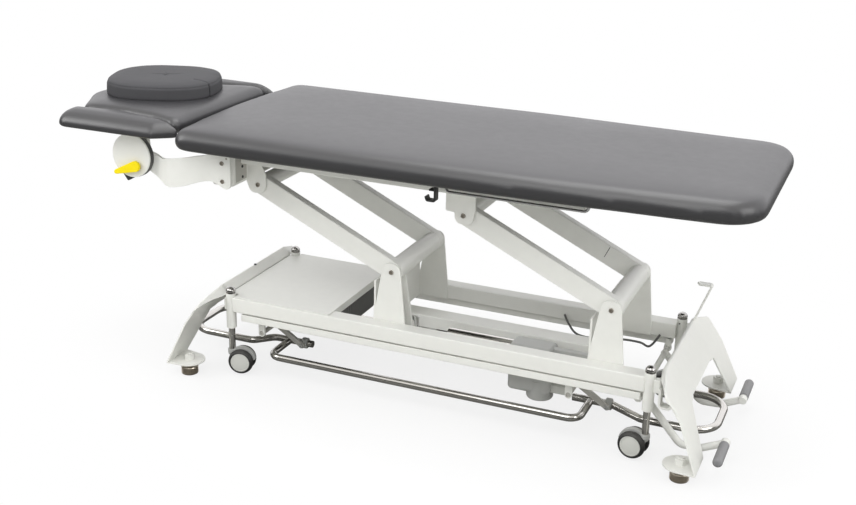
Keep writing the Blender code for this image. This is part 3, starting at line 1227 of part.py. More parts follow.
def build_head_board(finishes, head):
    """Board under the head pads, with a hinge plate and pin on each side for the drums."""
    corners = [
        (HEAD_BOARD_END_X, -HEAD_BOARD_HALF_WIDTH, 0.030),
        (HEAD_BOARD_NECK_X, -HEAD_BOARD_HALF_WIDTH, 0.015),
        (HEAD_BOARD_NECK_X, HEAD_BOARD_HALF_WIDTH, 0.015),
        (HEAD_BOARD_END_X, HEAD_BOARD_HALF_WIDTH, 0.030),
    ]
    plate = prism(rounded(corners), "z", HEAD_BOARD_BOTTOM, HEAD_BOARD_TOP)
    board = add("head_board", plate, finishes["paint"], head)
    outline = rounded(
        [
            (DRUM_X - 0.070, HEAD_BOARD_BOTTOM + 0.004, 0.0),
            (DRUM_X - 0.032, DRUM_Z - 0.034, 0.028),
            (DRUM_X + 0.032, DRUM_Z - 0.034, 0.028),
            (DRUM_X + 0.070, HEAD_BOARD_BOTTOM + 0.004, 0.0),
        ]
    )
    plates = []
    pins = []
    for side, sign in SIDES:
        low, high = sorted((sign * (HINGE_PLATE_OUTER - HINGE_PLATE_WIDTH), sign * HINGE_PLATE_OUTER))
        plates.append(prism(outline, "y", low, high))
        start = HINGE_PLATE_OUTER - 0.004
        place = (DRUM_X, sign * start, DRUM_Z)
        pins.append(cylinder(place, (0, sign, 0), HINGE_PIN_RADIUS, DRUM_INNER - GAP - start))
    combine(board, joined(plates), "UNION", head)
    combine(board, joined(pins), "UNION", head)
    hole = prism(face_hole(-0.006), "z", HEAD_BOARD_BOTTOM - 0.01, HEAD_BOARD_TOP + 0.01)
    combine(board, hole, "DIFFERENCE", head)


def pad_levels(bottom, thickness, crown_inset):
    """Return the rings of a head pad: drawn in below, rolled at the edge and crowned on top."""
    shares = [
        (0.016, 0.0),
        (0.005, 0.07),
        (0.0, 0.35),
        (0.002, 0.62),
        (0.008, 0.82),
        (0.020, 0.94),
        (crown_inset, 1.0),
    ]
    return [(inset, bottom + share * thickness) for inset, share in shares]


def build_head_pads(finishes, head):
    """Centre pad with its face hole, and an armrest on each side of it."""
    half = [
        (HEAD_PAD_NECK_X, PAD_NECK_HALF_WIDTH, 0.022),
        (HEAD_PAD_NECK_X - 0.098, PAD_NECK_HALF_WIDTH - 0.033, 0.090),
        (HEAD_PAD_NECK_X - 0.203, PAD_WAIST_HALF_WIDTH, 0.120),
        (HEAD_PAD_END_X + 0.078, PAD_CROWN_HALF_WIDTH, 0.045),
        (HEAD_PAD_END_X, 0.075, 0.070),
    ]
    corners = half + [(x, -y, r) for x, y, r in half[::-1]]
    outline = rounded(corners, 4)
    form = cushion(outline, pad_levels(PAD_BOTTOM, PAD_THICKNESS, 0.060))
    pad = add("centre_pad", form, finishes["vinyl"], head)
    hole = prism(face_hole(0.0), "z", PAD_BOTTOM - 0.02, PAD_BOTTOM + PAD_THICKNESS + 0.02)
    combine(pad, hole, "DIFFERENCE", head)
    for side, sign in SIDES:
        corners = [
            (ARMREST_NECK_X, PAD_NECK_HALF_WIDTH + ARMREST_SEAM + 0.002, 0.012),
            (HEAD_PAD_NECK_X - 0.098, PAD_NECK_HALF_WIDTH - 0.033 + ARMREST_SEAM, 0.090),
            (HEAD_PAD_NECK_X - 0.203, PAD_WAIST_HALF_WIDTH + ARMREST_SEAM, 0.120),
            (ARMREST_END_X, PAD_CROWN_HALF_WIDTH + ARMREST_SEAM, 0.025),
            (ARMREST_END_X + 0.012, ARMREST_OUTER, 0.035),
            (ARMREST_NECK_X - 0.042, ARMREST_OUTER, 0.024),
        ]
        outline = rounded([(x, sign * y, r) for x, y, r in corners], 4)
        form = cushion(outline, pad_levels(PAD_BOTTOM, PAD_THICKNESS - 0.003, 0.032))
        add(f"armrest_{side}", form, finishes["vinyl"], head)


def build_pillow(finishes, pivot):
    """Loose pillow over the face hole, with a sewn tuft in its crown."""
    power = 2.0 / PILLOW_SQUARENESS
    cosine, sine = math.cos(PILLOW_TURN), math.sin(PILLOW_TURN)
    outline = []
    for step in range(40):
        angle = math.tau * step / 40
        c, d = math.cos(angle), math.sin(angle)
        u = math.copysign(PILLOW_HALF_LENGTH * abs(c) ** power, c)
        v = math.copysign(PILLOW_HALF_WIDTH * abs(d) ** power, d)
        outline.append((PILLOW_X + u * cosine - v * sine, PILLOW_Y + u * sine + v * cosine))
    shares = [
        (0.010, 0.0),
        (0.002, 0.08),
        (0.0, 0.25),
        (0.0, 0.55),
        (0.002, 0.78),
        (0.008, 0.91),
        (0.020, 0.97),
        (0.050, 1.0),
        (0.110, 0.985),
        (0.132, 0.90),
        (0.140, 0.80),
    ]
    levels = [(inset, PILLOW_BOTTOM + share * PILLOW_THICKNESS) for inset, share in shares]
    add("pillow", cushion(outline, levels), finishes["vinyl"], pivot)


def build_lever(finishes, pivot):
    """Yellow lock lever on the near drum."""
    hub = (DRUM_X + LEVER_OFFSET_X, DRUM_Z + LEVER_OFFSET_Z)
    tip = (hub[0] + LEVER_REACH_X, hub[1] + LEVER_REACH_Z)
    outline = stadium(hub, tip, LEVER_HUB_RADIUS, LEVER_TIP_RADIUS)
    face = -(DRUM_OUTER + GAP)
    add("lock_lever", prism(outline, "y", face - LEVER_HEIGHT, face), finishes["lever"], pivot)


def build_base(finishes, base):
    """Everything that stands still."""
    build_rails(finishes, base)
    build_centre_beam(finishes, base)
    build_towers(finishes, base)
    build_cover(finishes, base)
    build_end_plates(finishes, base)
    build_levelling_feet(finishes, base)
    build_pivot_shafts(finishes, base)
    build_actuator(finishes, base)
    build_cable(finishes, base)


def build_running_gear(finishes, base):
    """Castors, pedals, link bars, foot bar and its cranks."""
    build_castors(finishes, base)
    pedals = Pivot("pedal_axis", (PEDAL_SHAFT_X, 0.0, PEDAL_SHAFT_Z), base)
    build_pedals(finishes, pedals)
    bars = {}
    for side, sign in SIDES:
        bars[side] = Pivot(f"link_bar_slide_{side}", (0.0, sign * LINK_BAR_INNER, RAIL_BOTTOM), base)
    build_link_bars(finishes, bars)
    head_link = Pivot("foot_bar_crank_head_axis", (CLAMP_HEAD_X - LINK_RUN, 0.0, LINK_SHAFT_Z), base)
    foot_link = Pivot("foot_bar_crank_foot_axis", (CLAMP_FOOT_X - LINK_RUN, 0.0, LINK_SHAFT_Z), base)
    build_link("bar_crank_head", CLAMP_HEAD_X, finishes, head_link)
    build_link("bar_crank_foot", CLAMP_FOOT_X, finishes, foot_link)
    bar = Pivot("foot_bar_axis", (CLAMP_HEAD_X, 0.0, BAR_Z), head_link)
    build_foot_bar(finishes, bar)


def build_top(finishes, base):
    """Lift arms, actuator rod, table frame, cushions and the tilting head section."""
    head_arm = Pivot("lift_axis", (LIFT_PIVOTS_X[0], 0.0, LIFT_PIVOT_Z), base)
    foot_arm = Pivot("foot_arm_axis", (LIFT_PIVOTS_X[1], 0.0, LIFT_PIVOT_Z), base)
    rod = Pivot("actuator_slide", (CRANK_PIN_X, YOKE_Y, ROD_Z), base)
    table = Pivot("table_axis", (TABLE_PIVOTS_X[0], 0.0, TABLE_PIVOT_Z), head_arm)
    head = Pivot("head_axis", (DRUM_X, 0.0, DRUM_Z), table)
    pillow = Pivot("pillow_lift", (PILLOW_X, PILLOW_Y, PILLOW_BOTTOM), head)
    hub_x = DRUM_X + LEVER_OFFSET_X
    lever = Pivot("lever_axis", (hub_x, -DRUM_OUTER, DRUM_Z + LEVER_OFFSET_Z), head)
    build_lift_arm("lift_arm_head", LIFT_PIVOTS_X[0], finishes, head_arm, True)
    build_lift_arm("lift_arm_foot", LIFT_PIVOTS_X[1], finishes, foot_arm, False)
    build_actuator_rod(finishes, rod)
    build_table_frame(finishes, table)
    build_main_cushion(finishes, table)
    build_table_fittings(finishes, table)
    build_support_arms(finishes, table)
    build_drums(finishes, head)
    build_head_board(finishes, head)
    build_head_pads(finishes, head)
    build_pillow(finishes, pillow)
    build_lever(finishes, lever)


def main():
    clear_scene()
    finishes = make_finishes()
    base = Pivot("table_origin", (0.0, 0.0, 0.0))
    build_base(finishes, base)
    build_running_gear(finishes, base)
    build_top(finishes, base)


main()
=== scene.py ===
"""Treatment table: finished surfaces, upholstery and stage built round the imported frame."""

import logging
import math
from dataclasses import dataclass, field
from enum import Enum

import bmesh
import bpy
from mathutils import Matrix, Vector
from mathutils.kdtree import KDTree


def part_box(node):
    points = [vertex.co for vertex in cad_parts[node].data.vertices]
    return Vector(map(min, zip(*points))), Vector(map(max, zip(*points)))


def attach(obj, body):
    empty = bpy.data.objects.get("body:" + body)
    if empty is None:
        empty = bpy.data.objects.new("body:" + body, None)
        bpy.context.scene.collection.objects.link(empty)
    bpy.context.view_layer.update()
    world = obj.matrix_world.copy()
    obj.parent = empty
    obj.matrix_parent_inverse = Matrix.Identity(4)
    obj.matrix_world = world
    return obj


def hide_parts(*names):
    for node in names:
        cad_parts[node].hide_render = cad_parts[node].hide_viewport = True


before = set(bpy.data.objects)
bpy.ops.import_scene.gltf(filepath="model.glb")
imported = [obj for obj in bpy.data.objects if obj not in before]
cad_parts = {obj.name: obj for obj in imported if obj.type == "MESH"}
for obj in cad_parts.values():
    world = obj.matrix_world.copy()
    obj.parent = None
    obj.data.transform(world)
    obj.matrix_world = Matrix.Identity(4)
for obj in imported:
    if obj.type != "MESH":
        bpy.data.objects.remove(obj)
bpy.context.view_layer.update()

logging.basicConfig(level=logging.INFO, format="%(levelname)s %(message)s")
LOG = logging.getLogger("treatment_table")

Point = tuple[float, float, float]
Flat = tuple[float, float]
Sides = (("near", -1), ("far", 1))
Ends = (("head", -1), ("foot", 1))


class Surface(Enum):
    """Families of surface that share one set of shader nodes."""

    PAINT = "paint"
    VINYL = "vinyl"
    METAL = "metal"
    PLASTIC = "plastic"
    WOOD = "wood"


class Axis(Enum):
    """Direction that an outline is extruded along, with the order of its coordinates."""

    Y = (0, 2, 1)
    Z = (0, 1, 2)


@dataclass(frozen=True)
class Finish:
    """One finish: its surface family, its record slot, and its shader values."""

    name: str
    surface: Surface
    slot: str
    colour: Point
    roughness: float
    metallic: float = 0.0
    variation: float = 0.06
    relief: float = 0.0
    coat: float = 0.0
    specular: float = 0.5


PAINT = Finish("off_white_paint", Surface.PAINT, "off_white_paint", (0.83, 0.832, 0.795), 0.40, relief=0.10,
               coat=0.10)
# Grey-white paint of the bar cranks; the same colour serves as painted shade for the recess in the head crossbeam.
LINK_PAINT_AND_SHADE = Finish("grey_white_paint_and_shade", Surface.PAINT, "off_white_paint", (0.50, 0.49, 0.455), 0.42, relief=0.10)
VINYL = Finish("grey_vinyl", Surface.VINYL, "grey_vinyl", (0.031, 0.0305, 0.0335), 0.40, relief=0.16, specular=0.8)
DARK_VINYL = Finish("grey_vinyl_pillow", Surface.VINYL, "grey_vinyl", (0.074, 0.0735, 0.078), 0.55, relief=0.16,
                    specular=0.05)
CHROME = Finish("bright_chrome", Surface.METAL, "chrome", (0.78, 0.78, 0.79), 0.09, 1.0)
CAP = Finish("cap_chrome", Surface.METAL, "chrome", (0.42, 0.41, 0.40), 0.12, 1.0, variation=0.10)
POLISHED = Finish("polished_steel", Surface.METAL, "chrome", (0.60, 0.585, 0.56), 0.17, 1.0, variation=0.10)
STEEL = Finish("dark_steel", Surface.METAL, "dark_steel", (0.47, 0.43, 0.38), 0.38, 1.0, variation=0.12)
FOOT = Finish("foot_steel", Surface.METAL, "dark_steel", (0.60, 0.54, 0.46), 0.30, 1.0, variation=0.12)
TYRE = Finish("black_tyre", Surface.PLASTIC, "black_tyre", (0.022, 0.022, 0.022), 0.55, relief=0.06)
HOUSING = Finish("grey_plastic", Surface.PLASTIC, "grey_plastic", (0.46, 0.465, 0.45), 0.42, relief=0.08)
HUB = Finish("hub_plastic", Surface.PLASTIC, "grey_plastic", (0.63, 0.635, 0.60), 0.38, relief=0.05)
DARK = Finish("dark_plastic", Surface.PLASTIC, "dark_plastic", (0.035, 0.036, 0.036), 0.45, relief=0.08)
CASE = Finish("case_plastic", Surface.PLASTIC, "dark_plastic", (0.115, 0.115, 0.112), 0.50, relief=0.08)
RIM = Finish("rim_plastic", Surface.PLASTIC, "dark_plastic", (0.085, 0.085, 0.083), 0.50, relief=0.06)
RUBBER = Finish("grey_rubber", Surface.PLASTIC, "grey_rubber", (0.23, 0.23, 0.24), 0.60, relief=0.15)
LEVER = Finish("yellow_plastic", Surface.PLASTIC, "yellow_plastic", (0.96, 0.77, 0.004), 0.36, relief=0.04,
               specular=0.3)
# Near-black plywood for the board under the main cushion.
PLYWOOD = Finish("dark_plywood", Surface.WOOD, "plywood", (0.060, 0.056, 0.052), 0.62, relief=0.20)


@dataclass(frozen=True)
class Layout:
    """Places that several sub-assemblies share, in the base's frame, in metres."""

    shift: Point = (0.1465, 0.0, 0.0)
    post_half_span: float = 0.620
    post_half_track: float = 0.196
    rail_top: float = 0.2404
    rail_bottom: float = 0.1959
    rail_inner: float = 0.163
    rail_outer: float = 0.209
    lift_pivots: Flat = (-0.124, 0.4975)
    lift_z: float = 0.3857
    table_pivots: Flat = (-0.5397, 0.0818)
    table_z: float = 0.5804
    ear_inner: float = 0.1572
    ear_outer: float = 0.1627
    ear_radius: float = 0.025
    pin_bore: float = 0.00875
    frame_top: float = 0.6877
    drum: Flat = (-0.900, 0.641)
    bar_z: float = 0.068
    clamps: Flat = (-0.4505, 0.4875)
    link_run: float = 0.088
    link_shaft_z: float = 0.124
    pedal_shaft: Flat = (0.590, 0.162)
    foot_x: float = 0.729
    foot_y: float = 0.261
    tab_z: float = 0.043
    yoke_y: float = -0.0885
    rod_z: float = 0.1982
    crank: float = 0.205
    web_face: float = 0.0543
    pivot_bolt: Flat = (0.0066, 0.0036)
    shaft_radius: float = 0.008
    seat_gap: float = 0.0003


L = Layout()


class Outline:
    """Flat outlines and paths."""

    @staticmethod
    def arc(corner: Vector, before: Vector, after: Vector, radius: float, steps: int) -> list[Vector]:
        """Round one corner of a path.

        Args:
            corner: the corner's place.
            before: the point before it.
            after: the point after it.
            radius: the rounding's radius.
            steps: how many parts the rounding is cut into.

        Returns:
            The points of the rounding, in order.
        """
        back = (before - corner).normalized()
        ahead = (after - corner).normalized()
        half = back.angle(ahead) / 2
        if abs(half - math.pi / 2) < 1e-4 or radius <= 0.0:
            return [corner.copy()]
        centre = corner + (back + ahead).normalized() * (radius / math.sin(half))
        start = corner + back * (radius / math.tan(half)) - centre
        end = corner + ahead * (radius / math.tan(half)) - centre
        return [centre + start.slerp(end, i / steps).normalized() * radius for i in range(steps + 1)]

    @staticmethod
    def rounded(corners: list[tuple], steps: int = 8) -> list[Flat]:
        """Close an outline through (u, v, radius) corners.

        Args:
            corners: the corners with the radius of each.
            steps: parts per rounding.

        Returns:
            The outline's points.
        """
        places = [Vector(corner[:2]) for corner in corners]
        outline: list[Flat] = []
        for i, corner in enumerate(corners):
            after = places[(i + 1) % len(places)]
            outline.extend(tuple(p) for p in Outline.arc(places[i], places[i - 1], after, corner[2], steps))
        return outline

    @staticmethod
    def stadium(start: Flat, end: Flat, radius: float, end_radius: float | None = None,
                steps: int = 16) -> list[Flat]:
        """Outline two circles and the tangents between them.

        Args:
            start: centre of the first circle.
            end: centre of the second circle.
            radius: radius of the first circle.
            end_radius: radius of the second circle, or the same one.
            steps: parts per half circle.

        Returns:
            The outline's points.
        """
        first, last = Vector(start), Vector(end)
        end_radius = radius if end_radius is None else end_radius
        along = last - first
        heading = math.atan2(along.y, along.x)
        lean = math.asin((radius - end_radius) / along.length)
        outline: list[Flat] = []
        turns = (
            (first, radius, heading + math.pi / 2 - lean, math.pi + 2 * lean),
            (last, end_radius, heading - math.pi / 2 + lean, math.pi - 2 * lean),
        )
        for centre, size, begin, sweep in turns:
            for i in range(steps + 1):
                angle = begin + sweep * i / steps
                outline.append((centre.x + size * math.cos(angle), centre.y + size * math.sin(angle)))
        return outline

    @staticmethod
    def bent(points: list[Point], radius: float, steps: int = 8) -> list[Vector]:
        """Round every inner corner of a path.

        Args:
            points: the path's corners.
            radius: the bend radius.
            steps: parts per bend.

        Returns:
            The path's points.
        """
        places = [Vector(point) for point in points]
        path = [places[0]]
        for before, corner, after in zip(places, places[1:], places[2:]):
            path.extend(Outline.arc(corner, before, after, radius, steps))
        path.append(places[-1])
        return path

    @staticmethod
    def eased(rows: list, steps: int) -> list:
        """Run a smooth line through rows of values.

        Args:
            rows: the rows, each with the same number of values.
            steps: parts between two rows.

        Returns:
            The smooth rows, as vectors.
        """
        fine = []
        for i in range(len(rows) - 1):
            a, b, c, d = rows[max(i - 1, 0)], rows[i], rows[i + 1], rows[min(i + 2, len(rows) - 1)]
            for step in range(steps):
                t = step / steps
                fine.append(Vector([
                    0.5 * (2 * q + (r - p) * t + (2 * p - 5 * q + 4 * r - s) * t * t
                           + (3 * q - p - 3 * r + s) * t ** 3)
                    for p, q, r, s in zip(a, b, c, d)
                ]))
        fine.append(Vector(rows[-1]))
        return fine

    @staticmethod
    def strip(path: list[Flat], thickness: float) -> list[Flat]:
        """Outline a flat strip that follows a path.

        Args:
            path: the strip's middle line.
            thickness: the strip's thickness.

        Returns:
            The closed outline.
        """
        places = [Vector(point) for point in path]
        left: list[Flat] = []
        right: list[Flat] = []
        for i, place in enumerate(places):
            back = (place - places[max(i - 1, 0)]).normalized()
            ahead = (places[min(i + 1, len(places) - 1)] - place).normalized()
            along = (back + ahead).normalized()
            across = Vector((-along.y, along.x))
            reach = thickness / 2 / max(0.3, abs(along.dot(ahead if i == 0 else back)))
            left.append(tuple(place + across * reach))
            right.append(tuple(place - across * reach))
        return left + right[::-1]

    @staticmethod
    def sleeve(bore: float, radius: float, length: float, edge: float = 0.0) -> list[Flat]:
        """Profile of a ring or tube.

        Args:
            bore: its inner radius.
            radius: its outer radius.
            length: its length.
            edge: the width of its eased outer rims.

        Returns:
            Closed (radius, height) points.
        """
        rims = [(radius, 0), (radius, length)]
        if edge > 0.0:
            rims = [(radius - edge, 0), (radius, edge), (radius, length - edge), (radius - edge, length)]
        return [(bore, 0), *rims, (bore, length), (bore, 0)]

    @staticmethod
    def spaced(outline: list[Vector], count: int) -> list[Vector]:
        """Space the points of a closed outline evenly.

        Args:
            outline: the outline's points.
            count: how many points it gets.

        Returns:
            The new points.
        """
        ring = outline + outline[:1]
        lengths = [(b - a).length for a, b in zip(ring, ring[1:])]
        stride = sum(lengths) / count
        points, walked, leg = [], 0.0, 0
        for i in range(count):
            while leg < len(lengths) - 1 and walked + lengths[leg] < i * stride:
                walked += lengths[leg]
                leg += 1
            points.append(ring[leg].lerp(ring[leg + 1], (i * stride - walked) / max(lengths[leg], 1e-9)))
        return points

    @staticmethod
    def inset(outline: list[Vector], depth: float) -> list[Vector]:
        """Draw a closed outline in, without the loops that tight corners would make.

        Args:
            outline: evenly spaced points.
            depth: how far it is drawn in.

        Returns:
            As many evenly spaced points.
        """
        tree = KDTree(len(outline))
        for i, place in enumerate(outline):
            tree.insert((place.x, place.y, 0.0), i)
        tree.balance()
        area = sum(a.x * b.y - b.x * a.y for a, b in zip(outline, outline[1:] + outline[:1]))
        kept = []
        for before, here, after in zip(outline[-1:] + outline[:-1], outline, outline[1:] + outline[:1]):
            way = (after - before).normalized()
            spot = here + Vector((-way.y, way.x)) * math.copysign(depth, area)
            if tree.find((spot.x, spot.y, 0.0))[2] > depth - 0.0008:
                kept.append(spot)
        return Outline.spaced(kept, len(outline))


def show(name: str, data: bpy.types.ID) -> bpy.types.Object:
    """Put data into the scene as an object.

    Args:
        name: the object's name.
        data: its mesh, curve, camera or light.

    Returns:
        The object.
    """
    obj = bpy.data.objects.new(name, data)
    bpy.context.scene.collection.objects.link(obj)
    return obj


class Stock:
    """Solid forms that the pieces are made from, each a new bmesh in the base's frame."""

    @staticmethod
    def mesh(bm: bmesh.types.BMesh, name: str) -> bpy.types.Mesh:
        """Turn a form into a mesh.

        Args:
            bm: the form, which is used up.
            name: the mesh's name.

        Returns:
            The mesh.
        """
        mesh = bpy.data.meshes.new(name)
        bm.to_mesh(mesh)
        bm.free()
        return mesh

    @staticmethod
    def smooth(bm: bmesh.types.BMesh, passes: int) -> None:
        """Smooth a form.

        Args:
            bm: the form.
            passes: how often.
        """
        axes = {"use_axis_x": True, "use_axis_y": True, "use_axis_z": True}
        for _ in range(passes):
            bmesh.ops.smooth_vert(bm, verts=bm.verts, factor=0.5, **axes)

    @staticmethod
    def line(name: str, path: list[Vector], radius: float, rounds: int) -> bpy.types.Curve:
        """Draw a round curve along a path.

        Args:
            name: the curve's name.
            path: its points.
            radius: its radius.
            rounds: fineness of its section.

        Returns:
            The curve, with flat ends.
        """
        curve = bpy.data.curves.new(name, "CURVE")
        curve.dimensions = "3D"
        line = curve.splines.new("POLY")
        line.points.add(len(path) - 1)
        for knot, place in zip(line.points, path):
            knot.co = (*place, 1.0)
        curve.bevel_depth = radius
        curve.bevel_resolution = rounds
        curve.use_fill_caps = True
        return curve

    @staticmethod
    def strap(path: list[Flat], bend: float, thickness: float, low: float, high: float,
              bevel: float) -> bmesh.types.BMesh:
        """Bend a flat strap along a path that lies across Y.

        Args:
            path: its (x, z) corners.
            bend: its bend radius.
            thickness: its thickness.
            low: where it starts in Y.
            high: where it ends in Y.
            bevel: the width of the edges' rounding.

        Returns:
            The strap.
        """
        flat = [(p.x, p.z) for p in Outline.bent([(x, 0.0, z) for x, z in path], bend, 5)]
        return Stock.plate(Outline.strip(flat, thickness), Axis.Y, low, high, bevel)

    @staticmethod
    def ease(bm: bmesh.types.BMesh, width: float, segments: int = 3, angle: float = 35.0) -> bmesh.types.BMesh:
        """Round the edges that are sharper than an angle.

        Args:
            bm: the form to change.
            width: the rounding's width.
            segments: parts across the rounding.
            angle: the angle in degrees.

        Returns:
            The same form.
        """
        limit = math.radians(angle)
        sharp = [e for e in bm.edges if e.is_manifold and e.calc_face_angle() > limit]
        if sharp and width > 0.0:
            bmesh.ops.bevel(
                bm, geom=sharp, offset=width, offset_type="OFFSET", segments=segments, profile=0.5,
                affect="EDGES", clamp_overlap=True, material=-1,
            )
        return bm

    @staticmethod
    def block(low: Point, high: Point, bevel: float = 0.0, segments: int = 3) -> bmesh.types.BMesh:
        """Make a box with rounded edges.

        Args:
            low: its lowest corner.
            high: its highest corner.
            bevel: the width of the edges' rounding.
            segments: parts across the rounding.

        Returns:
            The box.
        """
        first, last = Vector(low), Vector(high)
        bm = bmesh.new()
        bmesh.ops.create_cube(bm, size=1.0, matrix=Matrix.LocRotScale((first + last) / 2, None, last - first))
        return Stock.ease(bm, bevel, segments)

    @staticmethod
    def plate(outline: list[Flat], axis: Axis, low: float, high: float, bevel: float = 0.0) -> bmesh.types.BMesh:
        """Extrude an outline along an axis.

        Args:
            outline: the flat outline.
            axis: the direction.
            low: where it starts.
            high: where it ends.
            bevel: the width of the edges' rounding.

        Returns:
            The plate.
        """
        low, high = sorted((low, high))
        bm = bmesh.new()
        verts = []
        for u, v in outline:
            values = (u, v, low)
            verts.append(bm.verts.new([values[i] for i in axis.value]))
        face = bm.faces.new(verts)
        moved = bmesh.ops.extrude_face_region(bm, geom=[face])["geom"]
        step = Vector()
        step["XYZ".index(axis.name)] = high - low
        bmesh.ops.translate(bm, verts=[v for v in moved if isinstance(v, bmesh.types.BMVert)], vec=step)
        bmesh.ops.recalc_face_normals(bm, faces=bm.faces)
        return Stock.ease(bm, bevel, 2, 50.0)

    @staticmethod
    def turned(profile: list[Flat], place: Point, axis: Point, steps: int = 48) -> bmesh.types.BMesh:
        """Turn a profile about an axis.

        Args:
            profile: (radius, height) points.
            place: where height zero is.
            axis: the direction of height.
            steps: parts round the turn.

        Returns:
            The turned form.
        """
        bm = bmesh.new()
        verts = [bm.verts.new((radius, 0.0, height)) for radius, height in profile]
        edges = [bm.edges.new(pair) for pair in zip(verts, verts[1:])]
        bmesh.ops.spin(bm, geom=verts + edges, axis=(0, 0, 1), angle=math.tau, steps=steps, use_merge=True)
        bmesh.ops.remove_doubles(bm, verts=bm.verts, dist=1e-6)
        turn = Vector((0, 0, 1)).rotation_difference(Vector(axis)).to_matrix().to_4x4()
        bmesh.ops.transform(bm, matrix=Matrix.Translation(place) @ turn, verts=bm.verts)
        bmesh.ops.recalc_face_normals(bm, faces=bm.faces)
        return bm

    @staticmethod
    def pin(
        place: Point, axis: Point, radius: float, length: float, edge: float = 0.0005, steps: int = 32
    ) -> bmesh.types.BMesh:
        """Make a cylinder with eased rims that starts at a place.

        Args:
            place: the middle of its first end.
            axis: its direction.
            radius: its radius.
            length: its length.
            edge: the width of its eased rims.
            steps: parts round it.

        Returns:
            The cylinder.
        """
        return Stock.turned(Outline.sleeve(0, radius, length, edge)[:-1], place, axis, steps)

    @staticmethod
    def bolt(place: Point, axis: Point, radius: float, height: float, socket: float = 0.45) -> bmesh.types.BMesh:
        """Make a screw head with a round socket in it.

        Args:
            place: the middle of its seat.
            axis: the way it faces.
            radius: the head's radius.
            height: the head's height.
            socket: the socket's share of the radius.

        Returns:
            The screw head.
        """
        hole = radius * socket
        profile = [
            (0, -0.0008), (radius, -0.0008), (radius, height * 0.55), (radius * 0.86, height),
            (hole, height), (hole * 0.9, height * 0.25), (0, height * 0.25),
        ]
        return Stock.turned(profile, place, axis, 24)

    @staticmethod
    def rod(path: list[Vector], radius: float, rounds: int = 5) -> bmesh.types.BMesh:
        """Sweep a round bar along a path.

        Args:
            path: the bar's middle line.
            radius: its radius.
            rounds: fineness of its section.

        Returns:
            The bar with flat ends.
        """
        curve = Stock.line("bar", path, radius, rounds)
        holder = bpy.data.objects.new("bar", curve)
        mesh = bpy.data.meshes.new_from_object(holder)
        bm = bmesh.new()
        bm.from_mesh(mesh)
        bmesh.ops.remove_doubles(bm, verts=bm.verts, dist=1e-6)
        bmesh.ops.recalc_face_normals(bm, faces=bm.faces)
        bpy.data.objects.remove(holder)
        bpy.data.curves.remove(curve)
        bpy.data.meshes.remove(mesh)
        return bm

    @staticmethod
    def loft(sections: list[list[Vector]]) -> bmesh.types.BMesh:
        """Bridge a row of closed sections and close both ends.

        Args:
            sections: rings with the same number of points.

        Returns:
            The lofted form.
        """
        bm = bmesh.new()
        rings = [[bm.verts.new(place) for place in section] for section in sections]
        for lower, upper in zip(rings, rings[1:]):
            for i in range(len(lower)):
                j = (i + 1) % len(lower)
                bm.faces.new((lower[i], lower[j], upper[j], upper[i]))
        bm.faces.new(rings[0][::-1])
        bm.faces.new(rings[-1])
        bmesh.ops.recalc_face_normals(bm, faces=bm.faces)
        return bm

    @staticmethod
    def join(parts: list[bmesh.types.BMesh]) -> bmesh.types.BMesh:
        """Gather several forms into one.

        Args:
            parts: the forms, which are used up.

        Returns:
            One form that holds them all.
        """
        whole = bmesh.new()
        for part in parts:
            mesh = Stock.mesh(part, "part")
            whole.from_mesh(mesh)
            bpy.data.meshes.remove(mesh)
        return whole

    @staticmethod
    def cut(bm: bmesh.types.BMesh, tools: list[bmesh.types.BMesh]) -> bmesh.types.BMesh:
        """Cut forms from a form.

        Args:
            bm: the form, which is used up.
            tools: the forms to cut with, which are used up.

        Returns:
            The new form.
        """
        holders = [show("cut", Stock.mesh(part, "cut")) for part in (bm, Stock.join(tools))]
        step = holders[0].modifiers.new("cut", "BOOLEAN")
        step.operation = "DIFFERENCE"
        step.solver = "EXACT"
        step.object = holders[1]
        bpy.context.view_layer.update()
        result = holders[0].evaluated_get(bpy.context.evaluated_depsgraph_get())
        fresh = bmesh.new()
        fresh.from_mesh(result.to_mesh())
        result.to_mesh_clear()
        for holder in holders:
            mesh = holder.data
            bpy.data.objects.remove(holder, do_unlink=True)
            bpy.data.meshes.remove(mesh)
        return fresh

    @staticmethod
    def moved(bm: bmesh.types.BMesh, matrix: Matrix) -> bmesh.types.BMesh:
        """Carry a form to another place.

        Args:
            bm: the form.
            matrix: the move.

        Returns:
            The same form.
        """
        bmesh.ops.transform(bm, matrix=matrix, verts=bm.verts)
        return bm


